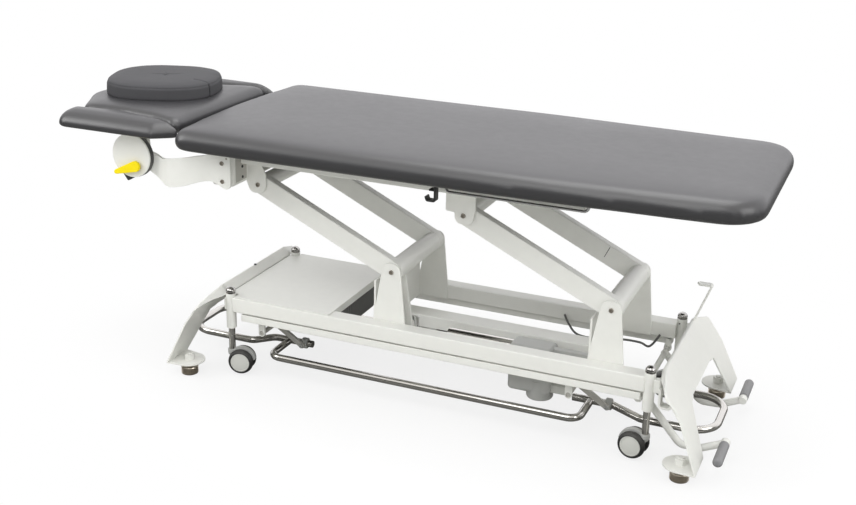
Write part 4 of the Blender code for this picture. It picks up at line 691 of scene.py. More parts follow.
class Nodes:
    """One node tree, with a short way to fill it."""

    def __init__(self, tree: bpy.types.NodeTree) -> None:
        """Take a tree.

        Args:
            tree: a group's, a material's or a world's tree.
        """
        self.tree = tree

    def add(self, kind: str, inputs: dict | None = None, **settings) -> bpy.types.Node:
        """Add a node.

        Args:
            kind: its type, without the prefix.
            inputs: sockets to link or values to set, by the input's name or number.
            settings: its own properties.

        Returns:
            The node.
        """
        node = self.tree.nodes.new(f"ShaderNode{kind}")
        for title, value in settings.items():
            setattr(node, title, value)
        self.feed(node, inputs or {})
        return node

    def feed(self, node: bpy.types.Node, inputs: dict) -> None:
        """Link or set a node's inputs.

        Args:
            node: the node.
            inputs: sockets to link or values to set, by the input's name or number.
        """
        for title, value in inputs.items():
            if isinstance(value, bpy.types.NodeSocket):
                self.tree.links.new(value, node.inputs[title])
            else:
                node.inputs[title].default_value = value

    def math(self, operation: str, first, second) -> bpy.types.NodeSocket:
        """Work with two values.

        Args:
            operation: what is done.
            first: a socket or a number.
            second: a socket or a number.

        Returns:
            The result's socket.
        """
        return self.add("Math", {0: first, 1: second}, operation=operation).outputs[0]

    def mix(self, factor, first, second, blend: str = "MIX") -> bpy.types.NodeSocket:
        """Mix two colours.

        Args:
            factor: the share, as a socket or a number.
            first: the first colour or its socket.
            second: the second colour or its socket.
            blend: how they are mixed.

        Returns:
            The result's socket.
        """
        inputs = {"Factor": factor, "A": first, "B": second}
        return self.add("Mix", inputs, data_type="RGBA", blend_type=blend).outputs["Result"]

    def noise(self, coords, scale, detail: float, rough: float = 0.5) -> bpy.types.NodeSocket:
        """Add a noise texture.

        Args:
            coords: the coordinates' socket.
            scale: the noise's scale, as a socket or a number.
            detail: its detail.
            rough: its roughness.

        Returns:
            The noise's socket.
        """
        inputs = {"Vector": coords, "Scale": scale, "Detail": detail, "Roughness": rough}
        return self.add("TexNoise", inputs).outputs[0]

    def ramp(self, value, start: float, end: float, low: float = 0.0, high: float = 1.0) -> bpy.types.NodeSocket:
        """Rise smoothly from one value to another.

        Args:
            value: the socket that is followed.
            start: where the rise starts.
            end: where it ends.
            low: the value before it.
            high: the value after it.

        Returns:
            The result's socket.
        """
        inputs = {"Value": value, "From Min": start, "From Max": end, "To Min": low, "To Max": high}
        return self.add("MapRange", inputs, interpolation_type="SMOOTHSTEP").outputs["Result"]


class NodeKit:
    """Shared shader node groups."""

    def __init__(self) -> None:
        """Make the groups once."""
        self.variation = self._variation()
        self.grain = self._grain()
        self.peel = self._peel()
        self.dust = self._dust()

    @staticmethod
    def _start(name: str, given: str, value: float, output: str) -> tuple:
        """Start a group that reads object coordinates.

        Args:
            name: the group's name.
            given: its input's name.
            value: its input's default.
            output: its output's name.

        Returns:
            Its nodes, and the sockets of its input, its coordinates and its output.
        """
        tree = bpy.data.node_groups.new(name, "ShaderNodeTree")
        socket = tree.interface.new_socket(name=given, in_out="INPUT", socket_type="NodeSocketFloat")
        socket.default_value = value
        tree.interface.new_socket(name=output, in_out="OUTPUT", socket_type="NodeSocketFloat")
        nodes = Nodes(tree)
        entry, end = tree.nodes.new("NodeGroupInput"), tree.nodes.new("NodeGroupOutput")
        return nodes, entry.outputs[given], nodes.add("TexCoord").outputs["Object"], end.inputs[output]

    def _variation(self) -> bpy.types.NodeTree:
        """Make slow and fast blotches that tint a finish. Returns the group."""
        nodes, amount, coords, out = self._start("surface_variation", "Amount", 0.06, "Factor")
        both = nodes.math("ADD", nodes.noise(coords, 3.0, 2.0), nodes.noise(coords, 38.0, 4.0))
        scaled = nodes.math("MULTIPLY", nodes.math("SUBTRACT", both, 1.0), amount)
        nodes.tree.links.new(nodes.math("ADD", scaled, 1.0), out)
        return nodes.tree

    def _grain(self) -> bpy.types.NodeTree:
        """Make the cells and creases of an embossed hide. Returns the group."""
        nodes, scale, coords, out = self._start("hide_grain", "Scale", 520.0, "Height")
        cells = nodes.add("TexVoronoi", {"Vector": coords, "Scale": scale}, feature="SMOOTH_F1")
        height = nodes.math("MULTIPLY", cells.outputs["Distance"], 0.55)
        for layer, share in ((nodes.noise(coords, 150.0, 3.0), 0.30), (nodes.noise(coords, 14.0, 2.0), 0.55)):
            height = nodes.math("ADD", height, nodes.math("MULTIPLY", layer, share))
        nodes.tree.links.new(height, out)
        return nodes.tree

    def _peel(self) -> bpy.types.NodeTree:
        """Make the faint orange peel of a sprayed coat. Returns the group."""
        nodes, scale, coords, out = self._start("spray_peel", "Scale", 420.0, "Height")
        nodes.tree.links.new(nodes.noise(coords, scale, 2.0), out)
        return nodes.tree

    def _dust(self) -> bpy.types.NodeTree:
        """Make a mask of dust that lies low down on faces that look up. Returns the group."""
        nodes, amount, coords, out = self._start("settled_dust", "Amount", 0.10, "Mask")
        facing = nodes.add("SeparateXYZ", {0: nodes.add("NewGeometry").outputs["Normal"]}).outputs["Z"]
        height = nodes.add("SeparateXYZ", {0: coords}).outputs["Z"]
        low = nodes.add("MapRange", {"Value": height, "From Min": 0.30, "From Max": 0.0}).outputs[0]
        mask = nodes.math("MULTIPLY", nodes.math("MAXIMUM", facing, 0.0), low)
        mask = nodes.math("MULTIPLY", mask, nodes.noise(coords, 25.0, 5.0, 0.6))
        nodes.tree.links.new(nodes.math("MULTIPLY", mask, amount), out)
        return nodes.tree


@dataclass
class Paintbox:
    """Procedural materials, made once for each finish."""

    kit: NodeKit = field(default_factory=NodeKit)
    made: dict = field(default_factory=dict)
    dust: float = 0.22
    dust_colour: tuple = (0.55, 0.53, 0.49, 1.0)
    wear: float = 3.0
    hide_depth: float = 0.0012
    peel_depth: float = 0.0006
    ply_scale: float = 130.0
    ply_share: float = 0.45

    def get(self, finish: Finish) -> bpy.types.Material:
        """Return a finish's material.

        Args:
            finish: the finish.

        Returns:
            Its material.
        """
        if finish.name not in self.made:
            self.made[finish.name] = self._make(finish)
        return self.made[finish.name]

    def _make(self, finish: Finish) -> bpy.types.Material:
        """Build the nodes of one finish.

        Args:
            finish: the finish.

        Returns:
            The new material.
        """
        material = bpy.data.materials.new(finish.name)
        material.use_nodes = True
        nodes = Nodes(material.node_tree)
        shader = nodes.tree.nodes["Principled BSDF"]
        tint = nodes.add("Group", {"Amount": finish.variation}, node_tree=self.kit.variation)
        wear = nodes.add("Group", {"Amount": finish.variation * self.wear}, node_tree=self.kit.variation)
        colour = nodes.mix(1.0, (*finish.colour, 1.0), tint.outputs["Factor"], "MULTIPLY")
        if finish.surface is Surface.WOOD:
            coords = nodes.add("TexCoord").outputs["Object"]
            bands = {"Vector": coords, "Scale": self.ply_scale, "Distortion": 1.5}
            wave = nodes.add("TexWave", bands, bands_direction="Z")
            colour = nodes.mix(self.ply_share, colour, wave.outputs["Color"], "MULTIPLY")
        if finish.surface in (Surface.PAINT, Surface.PLASTIC):
            veil = nodes.add("Group", {"Amount": self.dust}, node_tree=self.kit.dust)
            colour = nodes.mix(veil.outputs["Mask"], colour, self.dust_colour)
        nodes.feed(shader, {
            "Base Color": colour, "Metallic": finish.metallic, "Coat Weight": finish.coat,
            "Specular IOR Level": finish.specular,
            "Roughness": nodes.math("MULTIPLY", wear.outputs["Factor"], finish.roughness),
        })
        if finish.relief > 0.0:
            hide = finish.surface is Surface.VINYL
            shape = nodes.add("Group", node_tree=self.kit.grain if hide else self.kit.peel)
            depth = self.hide_depth if hide else self.peel_depth
            relief = {"Strength": finish.relief, "Distance": depth, "Height": shape.outputs["Height"]}
            nodes.feed(shader, {"Normal": nodes.add("Bump", relief).outputs["Normal"]})
        return material


class Workshop:
    """Puts finished pieces into the scene and binds them to the frame."""

    def __init__(self) -> None:
        """Start with an empty count."""
        self.paint = Paintbox()
        self.count = 0

    def place(
        self, name: str, bm: bmesh.types.BMesh, finish: Finish, body: str,
        stands_for: tuple[str, ...] = (), sharp: float = 38.0,
    ) -> None:
        """Turn a form into a piece that rides on a body.

        Args:
            name: the piece's name.
            bm: its form in the base's frame, which is used up.
            finish: its finish.
            body: the body that carries it.
            stands_for: CAD nodes that it replaces.
            sharp: the angle in degrees past which an edge stays sharp.
        """
        bmesh.ops.translate(bm, verts=bm.verts, vec=L.shift)
        bmesh.ops.recalc_face_normals(bm, faces=bm.faces)
        mesh = Stock.mesh(bm, name)
        mesh.shade_smooth()
        mesh.set_sharp_from_angle(angle=math.radians(sharp))
        obj = show(name, mesh)
        even = obj.modifiers.new("even_shading", "WEIGHTED_NORMAL")
        even.keep_sharp = True
        self.bind(obj, finish, body, stands_for)

    def bind(self, obj: bpy.types.Object, finish: Finish, body: str, stands_for: tuple[str, ...] = ()) -> None:
        """Give an object its finish, its body and the nodes it replaces.

        Args:
            obj: the object.
            finish: its finish.
            body: the body that carries it.
            stands_for: CAD nodes that it replaces.
        """
        obj.data.materials.clear()
        obj.data.materials.append(self.paint.get(finish))
        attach(obj, body)
        if stands_for:
            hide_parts(*stands_for)
        self.count += 1
        LOG.info("piece %s on %s", obj.name, body)

    def coat(self, finish: Finish, *nodes: str) -> None:
        """Give CAD nodes that stay in view a procedural finish.

        Args:
            finish: the finish.
            nodes: the nodes' names.
        """
        for node in nodes:
            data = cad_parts[node].data
            data.materials.clear()
            data.materials.append(self.paint.get(finish))
            LOG.info("node %s keeps its form", node)


@dataclass
class BaseFrame:
    """Rails with their posts and hangers, cover, control box, centre beam and small screws."""

    half_length: float = 0.6095
    edge: float = 0.004
    post_radius: float = 0.0145
    post_bottom: float = 0.142
    post_top: float = 0.250
    post_bore: float = 0.0098
    bore_top: float = 0.238
    cap_radius: float = 0.0142
    cap_height: float = 0.0190
    hanger_half: float = 0.0100
    hanger_drop: float = 0.0105
    hanger_bend: float = 0.010
    link_bore: float = 0.0076
    pedal_bore: float = 0.0086
    beam_start: float = 0.048
    beam_half: float = 0.030
    beam_drop: Flat = (0.069, 0.024)
    box_x: Flat = (-0.507, -0.302)
    box_half: float = 0.115
    box_depth: float = 0.090
    rib_x: Flat = (-0.3018, -0.3008)
    rib_y: tuple = (-0.09, -0.075, -0.06, -0.045)
    rib_half: float = 0.002
    rib_drop: Flat = (0.080, 0.012)
    cover_sheet: float = 0.0025
    cover_corners: tuple = (
        (-0.630, -0.1795, 0.002), (-0.6035, -0.1795, 0.001), (-0.6035, -0.205, 0.003), (-0.297, -0.205, 0.008),
        (-0.297, 0.205, 0.008), (-0.6035, 0.205, 0.003), (-0.6035, 0.1795, 0.001), (-0.630, 0.1795, 0.002),
    )
    lip_x: Flat = (-0.2995, -0.2972)
    lip_half: float = 0.160
    lip_drop: float = 0.019

    def build(self, shop: Workshop) -> None:
        """Make the pieces of the base that don't move.

        Args:
            shop: where the pieces go.
        """
        for side, sign in Sides:
            self._rail(shop, side, sign)
        self._cover(shop)
        low = (L.lift_pivots[0] - self.beam_start + L.seat_gap, -self.beam_half, L.rail_top - self.beam_drop[0])
        high = (L.lift_pivots[1] - L.web_face, self.beam_half, L.rail_top - self.beam_drop[1])
        shop.place("centre_beam_tube", Stock.block(low, high, 0.004), PAINT, "base", ("centre_beam",))
        low = (self.box_x[0], -self.box_half, L.rail_top - self.box_depth)
        high = (self.box_x[1], self.box_half, L.rail_top)
        case = Stock.block(low, high, 0.008, 4)
        ribs = []
        for y in self.rib_y:
            low = (self.rib_x[0], y - self.rib_half, L.rail_top - self.rib_drop[0])
            high = (self.rib_x[1], y + self.rib_half, L.rail_top - self.rib_drop[1])
            ribs.append(Stock.block(low, high, 0.0004))
        shop.place("control_case", Stock.join([case, *ribs]), CASE, "base", ("control_box",))

    def _rail(self, shop: Workshop, side: str, sign: int) -> None:
        """Make one rail with its posts, caps and hangers.

        Args:
            shop: where the pieces go.
            side: the side's name.
            sign: the side's sign.
        """
        low_y, high_y = sorted((sign * L.rail_inner, sign * L.rail_outer))
        parts = [Stock.block((-self.half_length, low_y, L.rail_bottom), (self.half_length, high_y, L.rail_top),
                             self.edge)]
        caps = []
        hole_shades = []
        bores = []
        for _, direction in Ends:
            place = (direction * L.post_half_span, sign * L.post_half_track, 0.0)
            parts.append(Stock.turned(self._post(), place, (0, 0, 1), 48))
            bores.append(Stock.pin((place[0], place[1], self.post_bottom - 0.01), (0, 0, 1), self.post_bore + 0.002,
                                   0.108))
            caps.append(Stock.turned(self._cap(), place, (0, 0, 1), 48))
            # The far posts get a thin dark disc for a small hole: painted shade, not a bored hole.
            hole = (place[0] - 0.004, place[1] - self.post_radius + 0.0006, self.post_top - 0.012)
            if sign > 0:
                hole_shades.append(Stock.pin(hole, (-0.15, -1, 0), 0.0022, 0.0014, 0.0002, 16))
        parts[0] = Stock.cut(parts[0], bores)
        shafts = [(clamp - L.link_run, L.link_shaft_z, self.link_bore) for clamp in L.clamps]
        shafts.append((*L.pedal_shaft, self.pedal_bore))
        for x, z, bore in shafts:
            corners = [
                (x - self.hanger_half, L.rail_top - self.edge, 0.0),
                (x - self.hanger_half, z - self.hanger_drop, self.hanger_bend),
                (x + self.hanger_half, z - self.hanger_drop, self.hanger_bend),
                (x + self.hanger_half, L.rail_top - self.edge, 0.0),
            ]
            hanger = Stock.plate(Outline.rounded(corners), Axis.Y, sign * L.ear_inner, sign * (L.rail_inner + 0.002),
                                 0.0006)
            parts.append(Stock.cut(hanger, [Stock.pin((x, sign * 0.14, z), (0, sign, 0), bore, 0.04)]))
        shop.place(f"rail_{side}_tube", Stock.join(parts), PAINT, "base", (f"rail_{side}",))
        shop.place(f"post_caps_{side}", Stock.join(caps), CAP, "base")
        if hole_shades:
            shop.place(f"post_hole_shades_{side}", Stock.join(hole_shades), DARK, "base")

    def _post(self) -> list[Flat]:
        """Profile of a wheel post with the bore of its stem. Returns (radius, height) points."""
        r, low, top = self.post_radius, self.post_bottom, self.post_top
        return [
            (self.post_bore, low), (r - 0.0012, low), (r, low + 0.0012), (r, top - 0.001), (r - 0.001, top),
            (0.0, top), (0.0, self.bore_top), (self.post_bore, self.bore_top), (self.post_bore, low),
        ]

    def _cap(self) -> list[Flat]:
        """Profile of a domed post cap with its collar. Returns (radius, height) points."""
        r, low, high = self.cap_radius, self.post_top + 0.0001, self.cap_height
        profile = [(0.0, low), (r - 0.0006, low), (r, low + 0.0006), (r, low + 0.0030), (r - 0.0022, low + 0.0036)]
        profile += [(r - 0.0022, low + 0.0050), (r - 0.0002, low + 0.0056)]
        for i in range(9):
            angle = math.pi / 2 * i / 8
            profile.append(((r - 0.0001) * math.cos(angle), low + 0.0062 + (high - 0.0063) * math.sin(angle)))
        profile[-1] = (0.0, low + high - 0.0001)
        return profile

    def _cover(self, shop: Workshop) -> None:
        """Make the cover panel over the head half.

        Args:
            shop: where the piece goes.
        """
        low = L.rail_top + L.seat_gap
        outline = Outline.rounded(list(self.cover_corners), 5)
        panel = Stock.plate(outline, Axis.Z, low, low + self.cover_sheet, 0.0009)
        lip = Stock.block((self.lip_x[0], -self.lip_half, low - self.lip_drop),
                          (self.lip_x[1], self.lip_half, low + 0.001), 0.0006)
        shop.place("cover_sheet", Stock.join([panel, lip]), PAINT, "base", ("cover_panel",))


@dataclass
class EndPlate:
    """Bent sheet end plate: flange, ridge, sloping panel, splayed legs and round tabs."""

    end: str
    direction: int
    flange_x: float = 0.6368
    flange_top: float = 0.2438
    flange_low: float = 0.1959
    ridge_x: float = 0.657
    ridge_z: float = 0.264
    ridge_half: float = 0.184
    shoulder_drop: float = 0.030
    shoulder_half: float = 0.279
    fold_run: float = 0.066
    fold_drop: float = 0.098
    opening_half: float = 0.150
    foot_x: float = 0.775
    leg_inner: float = 0.2065
    leg_outer: float = 0.3100
    tab_radius: float = 0.046
    sheet: float = 0.004
    bend: float = 0.004
    shoulder_bend: float = 0.014
    scoop: tuple = ((0.004, 0.214, 0.001), (0.014, 0.241, 0.004))
    scoop_rise: float = 0.016
    arch_rise: float = 0.006
    arch_radius: float = 0.034
    nut: Flat = (0.0150, 0.0170)
    lug_half: float = 0.010
    lug_z: Flat = (0.198, 0.236)
    hook_path: tuple = ((0.657, 0.262), (0.697, 0.372), (0.661, 0.372))
    hook_y: Flat = (0.160, 0.182)
    hook_tip: Point = (0.661, 0.170, 0.3695)
    small_path: tuple = ((0.6510, 0.215), (0.6520, 0.165), (0.678, 0.164), (0.688, 0.184), (0.680, 0.194))
    small_y: Flat = (-0.215, -0.185)

    def build(self, shop: Workshop) -> None:
        """Make the plate, its nuts, its feet and the fittings on it.

        Args:
            shop: where the pieces go.
        """
        shop.place(f"end_sheet_{self.end}", self._sheet(), PAINT, "base", (f"end_plate_{self.end}",), 30.0)
        nuts = []
        for side, sign in Sides:
            place = (self.direction * L.foot_x, sign * L.foot_y, L.tab_z + self.sheet / 2 - 0.0004)
            nuts.append(self._hexagon(place, *self.nut))
            nuts.append(Stock.pin((place[0], place[1], place[2] + 0.0165), (0, 0, 1), 0.0070, 0.004))
            foot = Stock.turned(self._foot(), (place[0], place[1], 0.0), (0, 0, 1), 48)
            shop.place(f"foot_disc_{side}_{self.end}", foot, FOOT, "base", (f"levelling_foot_{side}_{self.end}",))
        shop.place(f"foot_nuts_{self.end}", Stock.join(nuts), PAINT, "base")
        lugs = []
        for _, sign in Sides:
            low, high = sorted((self.direction * (L.post_half_span + 0.012),
                                self.direction * (self.flange_x + 0.001)))
            y = sign * L.post_half_track
            lugs.append(Stock.block((low, y - self.lug_half, self.lug_z[0]), (high, y + self.lug_half, self.lug_z[1]),
                                    self.bend))
        shop.place(f"plate_lugs_{self.end}", Stock.join(lugs), PAINT, "base")
        if self.end == "head":
            ridge = (-self.ridge_x + 0.002, 0.004, self.ridge_z + 0.0012)
            shop.place("ridge_screw", Stock.bolt(ridge, (0, 0, 1), 0.0042, 0.0022), DARK, "base")
        else:
            self._hooks(shop)

    def _sheet(self) -> bmesh.types.BMesh:
        """Fold the sheet with bend radii and give it its thickness. Returns the form."""
        bm = bmesh.new()

        def corner(x: float, y: float, z: float) -> bmesh.types.BMVert:
            return bm.verts.new((self.direction * x, y, z))

        signs = (-1, 1)
        slope = self.fold_run / self.fold_drop
        low = [corner(self.flange_x, s * self.ridge_half, self.flange_low) for s in signs]
        high = [corner(self.flange_x, s * self.ridge_half, self.flange_top) for s in signs]
        ridge = [corner(self.ridge_x, s * self.ridge_half, self.ridge_z) for s in signs]
        fold_x, fold_z = self.ridge_x + self.fold_run, self.ridge_z - self.fold_drop
        outer_edge = self.shoulder_half + 0.006
        shoulder_corner = Vector((self.shoulder_drop, self.shoulder_half))
        before, after = Vector((0.0, self.ridge_half)), Vector((self.fold_drop, outer_edge))
        arc = Outline.arc(shoulder_corner, before, after, self.shoulder_bend, 8)
        shoulders = [[corner(self.ridge_x + p.x * slope, s * p.y, self.ridge_z - p.x) for p in arc] for s in signs]
        fold_outer = [corner(fold_x, s * outer_edge, fold_z) for s in signs]
        fold_inner = [corner(fold_x, s * self.opening_half, fold_z) for s in signs]
        bm.faces.new((low[0], low[1], high[1], high[0]))
        bm.faces.new((high[0], high[1], ridge[1], ridge[0]))
        for i, sign in enumerate(signs):
            end = shoulders[i][-1].co
            dip = []
            for run, y, drop in reversed(self.scoop):
                z = min(self.flange_top - drop, end.z + self.scoop_rise)
                dip.append(corner(self.flange_x + run, sign * y, z))
            bm.faces.new([high[i], ridge[i], *shoulders[i], *dip])
        arch = self._arch(corner)
        bm.faces.new([ridge[0], ridge[1], *shoulders[1], fold_outer[1], fold_inner[1], *arch, fold_inner[0],
                      fold_outer[0], *shoulders[0][::-1]])
        for i, sign in enumerate(signs):
            outer = corner(self.foot_x, sign * self.leg_outer, L.tab_z)
            inner = corner(self.foot_x, sign * self.leg_inner, L.tab_z)
            bm.faces.new((fold_inner[i], fold_outer[i], outer, inner))
            tab = [inner, outer]
            for step in range(25):
                angle = math.pi / 2 + math.pi * step / 24
                tab.append(corner(L.foot_x + self.tab_radius * math.cos(angle),
                                  sign * (L.foot_y + self.tab_radius * math.sin(angle)), L.tab_z))
            bm.faces.new(tab)
        bmesh.ops.recalc_face_normals(bm, faces=bm.faces)
        folds = [e for e in bm.edges if e.is_manifold and e.calc_face_angle() > math.radians(12)]
        bmesh.ops.bevel(bm, geom=folds, offset=self.bend, offset_type="OFFSET", segments=5, profile=0.5,
                        affect="EDGES", clamp_overlap=True, material=-1)
        bmesh.ops.recalc_face_normals(bm, faces=bm.faces)
        top = max(bm.faces, key=lambda f: f.calc_area())
        if top.normal.z < 0:
            bmesh.ops.reverse_faces(bm, faces=bm.faces)
        for vert in bm.verts:
            vert.normal_update()
        shell = [(v, v.normal.copy()) for v in bm.verts]
        for vert, normal in shell:
            vert.co -= normal * (self.sheet / 2)
        bmesh.ops.solidify(bm, geom=bm.faces, thickness=-self.sheet)
        bmesh.ops.recalc_face_normals(bm, faces=bm.faces)
        return Stock.ease(bm, 0.0008, 2, 55.0)

    def _arch(self, corner) -> list[bmesh.types.BMVert]:
        """Round the top of the opening between the legs.

        Args:
            corner: makes a vertex from a place on the head or foot side.

        Returns:
            The vertices from the far leg to the near one.
        """
        points = []
        for i in range(7):
            angle = math.pi / 2 * i / 6
            inset = 0.001 + self.arch_radius * math.sin(angle) * 0.9
            points.append((self.opening_half - inset, self.arch_rise * (1 - math.cos(angle)) + 0.0004))
        places = points + [(-y, r) for y, r in reversed(points)]
        slope = self.fold_run / self.fold_drop
        return [corner(self.ridge_x + self.fold_run - r * slope, y, self.ridge_z - self.fold_drop + r)
                for y, r in places]

    @staticmethod
    def _hexagon(place: Point, radius: float, height: float) -> bmesh.types.BMesh:
        """Make a nut.

        Args:
            place: the middle of its seat.
            radius: its corners' radius.
            height: its height.

        Returns:
            The nut.
        """
        outline = [(place[0] + radius * math.cos(math.tau * i / 6), place[1] + radius * math.sin(math.tau * i / 6))
                   for i in range(6)]
        return Stock.plate(outline, Axis.Z, place[2], place[2] + height, 0.0009)

    def _foot(self) -> list[Flat]:
        """Profile of a levelling foot with a threaded rim. Returns (radius, height) points."""
        profile = [(0.0, 0.0), (0.0215, 0.0), (0.0240, 0.0015), (0.0250, 0.0035)]
        for i in range(7):
            z = 0.0045 + i * 0.0026
            profile += [(0.0250, z), (0.0237, z + 0.0007), (0.0237, z + 0.0013), (0.0250, z + 0.0020)]
        profile += [(0.0240, 0.0240), (0.0205, 0.0250), (0.0080, 0.0250)]
        for i in range(5):
            z = 0.0262 + i * 0.0028
            profile += [(0.0080, z), (0.0071, z + 0.0012)]
        top = L.tab_z - self.sheet / 2 - 0.0003
        return profile + [(0.0080, top - 0.0006), (0.0080, top), (0.0, top)]

    def _hooks(self, shop: Workshop) -> None:
        """Make the standing cord hook and the small hook at the near edge.

        Args:
            shop: where the pieces go.
        """
        standing = Stock.strap(self.hook_path, 0.004, 0.006, *self.hook_y, 0.0012)
        tip = Stock.pin(self.hook_tip, (0, 0, 1), 0.005, 0.007, 0.0015)
        small = Stock.strap(self.small_path, 0.008, 0.0065, *self.small_y, 0.0009)
        shop.place("cord_hooks", Stock.join([standing, tip, small]), PAINT, "base")


@dataclass
class Tower:
    """Bent sheet tower under one lift arm, with its pivot shaft."""

    end: str
    pivot_x: float
    web_offset: float = 0.054
    web: float = 0.006
    web_top: float = 0.352
    front_offset: float = 0.043

    def build(self, shop: Workshop) -> None:
        """Make the tower and its shaft.

        Args:
            shop: where the pieces go.
        """
        bottom = L.rail_bottom + 0.002
        web_x = self.pivot_x - self.web_offset
        sheet = Stock.block((web_x, -L.ear_inner - 0.001, bottom),
                            (web_x + self.web, L.ear_inner + 0.001, self.web_top), 0.001)
        if self.end == "head":
            slot = Stock.block((web_x - 0.01, -0.123, bottom - 0.01), (web_x + 0.016, -0.0685, self.web_top - 0.006))
            sheet = Stock.cut(sheet, [slot])
        r, crown = L.ear_radius, L.lift_z + L.ear_radius
        corners = [
            (web_x, bottom, 0.0), (web_x, L.rail_top, 0.020), (self.pivot_x - r, crown, r * 0.88),
            (self.pivot_x + r, crown, r * 0.88),
            (self.pivot_x + self.front_offset, L.rail_top, 0.020), (self.pivot_x + self.front_offset, bottom, 0.0),
        ]
        parts = [sheet]
        for _, sign in Sides:
            parts.append(Stock.plate(Outline.rounded(corners, 12), Axis.Y, sign * L.ear_inner, sign * L.ear_outer,
                                     0.0012))
        shop.place(f"tower_{self.end}_sheet", Stock.join(parts), PAINT, "base", (f"tower_{self.end}",))
        half = L.ear_outer + L.seat_gap
        reach = L.ear_inner + 0.002
        shaft = [Stock.pin((self.pivot_x, -reach, L.lift_z), (0, 1, 0), L.shaft_radius, 2 * reach)]
        for _, sign in Sides:
            shaft.append(Stock.bolt((self.pivot_x, sign * half, L.lift_z), (0, sign, 0), *L.pivot_bolt, 0.50))
        shop.place(f"pivot_pin_{self.end}", Stock.join(shaft), STEEL, "base", (f"pivot_shaft_{self.end}",))


@dataclass
class LiftArm:
    """One lift arm: two beams, a pivot tube and a top tube, and the crank of the head arm."""

    end: str
    lower_x: float
    upper_x: float
    inner: float = 0.1272
    outer: float = 0.1552
    half_depth: float = 0.029
    pivot_tube: float = 0.0275
    top_tube: float = 0.0225
    crank_angle: float = 9.0
    crank_half: float = 0.015
    crank_y: Flat = (-0.1075, -0.0985)
    crank_pin: Flat = (0.007, 0.026)
    slit_run: float = 0.105
    slit_half: float = 0.0009
    slit_reach: Flat = (-0.024, 0.010)

    def build(self, shop: Workshop) -> None:
        """Make the arm.

        Args:
            shop: where the piece goes.
        """
        lower, upper = (self.lower_x, L.lift_z), (self.upper_x, L.table_z)
        outline = Outline.stadium(lower, upper, self.half_depth, steps=20)
        parts = []
        for _, sign in Sides:
            beam = Stock.plate(outline, Axis.Y, sign * self.inner, sign * self.outer, 0.0035)
            bores = [
                Stock.pin((lower[0], sign * 0.10, lower[1]), (0, sign, 0), L.pin_bore, 0.08),
                Stock.pin((upper[0], sign * 0.10, upper[1]), (0, sign, 0), L.pin_bore, 0.08),
            ]
            parts.append(Stock.cut(beam, bores))
        reach = self.inner + 0.003
        for place, radius in ((lower, self.pivot_tube), (upper, self.top_tube)):
            tube = Outline.sleeve(L.pin_bore, radius, 2 * reach)
            parts.append(Stock.turned(tube, (place[0], -reach, place[1]), (0, 1, 0), 48))
        if self.end == "head":
            parts.append(self._crank())
        shop.place(f"lift_arm_{self.end}_weldment", Stock.join(parts), PAINT, f"{self.end}_arm",
                   (f"lift_arm_{self.end}",))
        # The foot arm's slit is a thin dark strip on the far beam's inner face: painted shade, not a cut slit.
        if self.end == "foot":
            along = Vector((upper[0] - lower[0], upper[1] - lower[1])).normalized()
            across = Vector((-along.y, along.x))
            middle = Vector(lower) + along * self.slit_run
            half, (low, high) = self.slit_half, self.slit_reach
            corners = [middle + along * a + across * b
                       for a, b in ((-half, low), (half, low), (half, high), (-half, high))]
            slit = Stock.plate([tuple(p) for p in corners], Axis.Y, self.inner - 0.0003, self.inner + 0.001)
            shop.place("arm_slit_shade", slit, DARK, "foot_arm")

    def _crank(self) -> bmesh.types.BMesh:
        """Make the crank plate and its pin. Returns the form."""
        angle = math.radians(self.crank_angle)
        pin = (self.lower_x + L.crank * math.sin(angle), L.lift_z - L.crank * math.cos(angle))
        outline = Outline.stadium((self.lower_x, L.lift_z), pin, self.crank_half)
        plate = Stock.plate(outline, Axis.Y, *self.crank_y, 0.001)
        plate = Stock.cut(plate, [Stock.pin((self.lower_x, -0.2, L.lift_z), (0, 1, 0), L.pin_bore, 0.4)])
        return Stock.join([plate, Stock.pin((pin[0], -0.1065, pin[1]), (0, 1, 0), *self.crank_pin)])


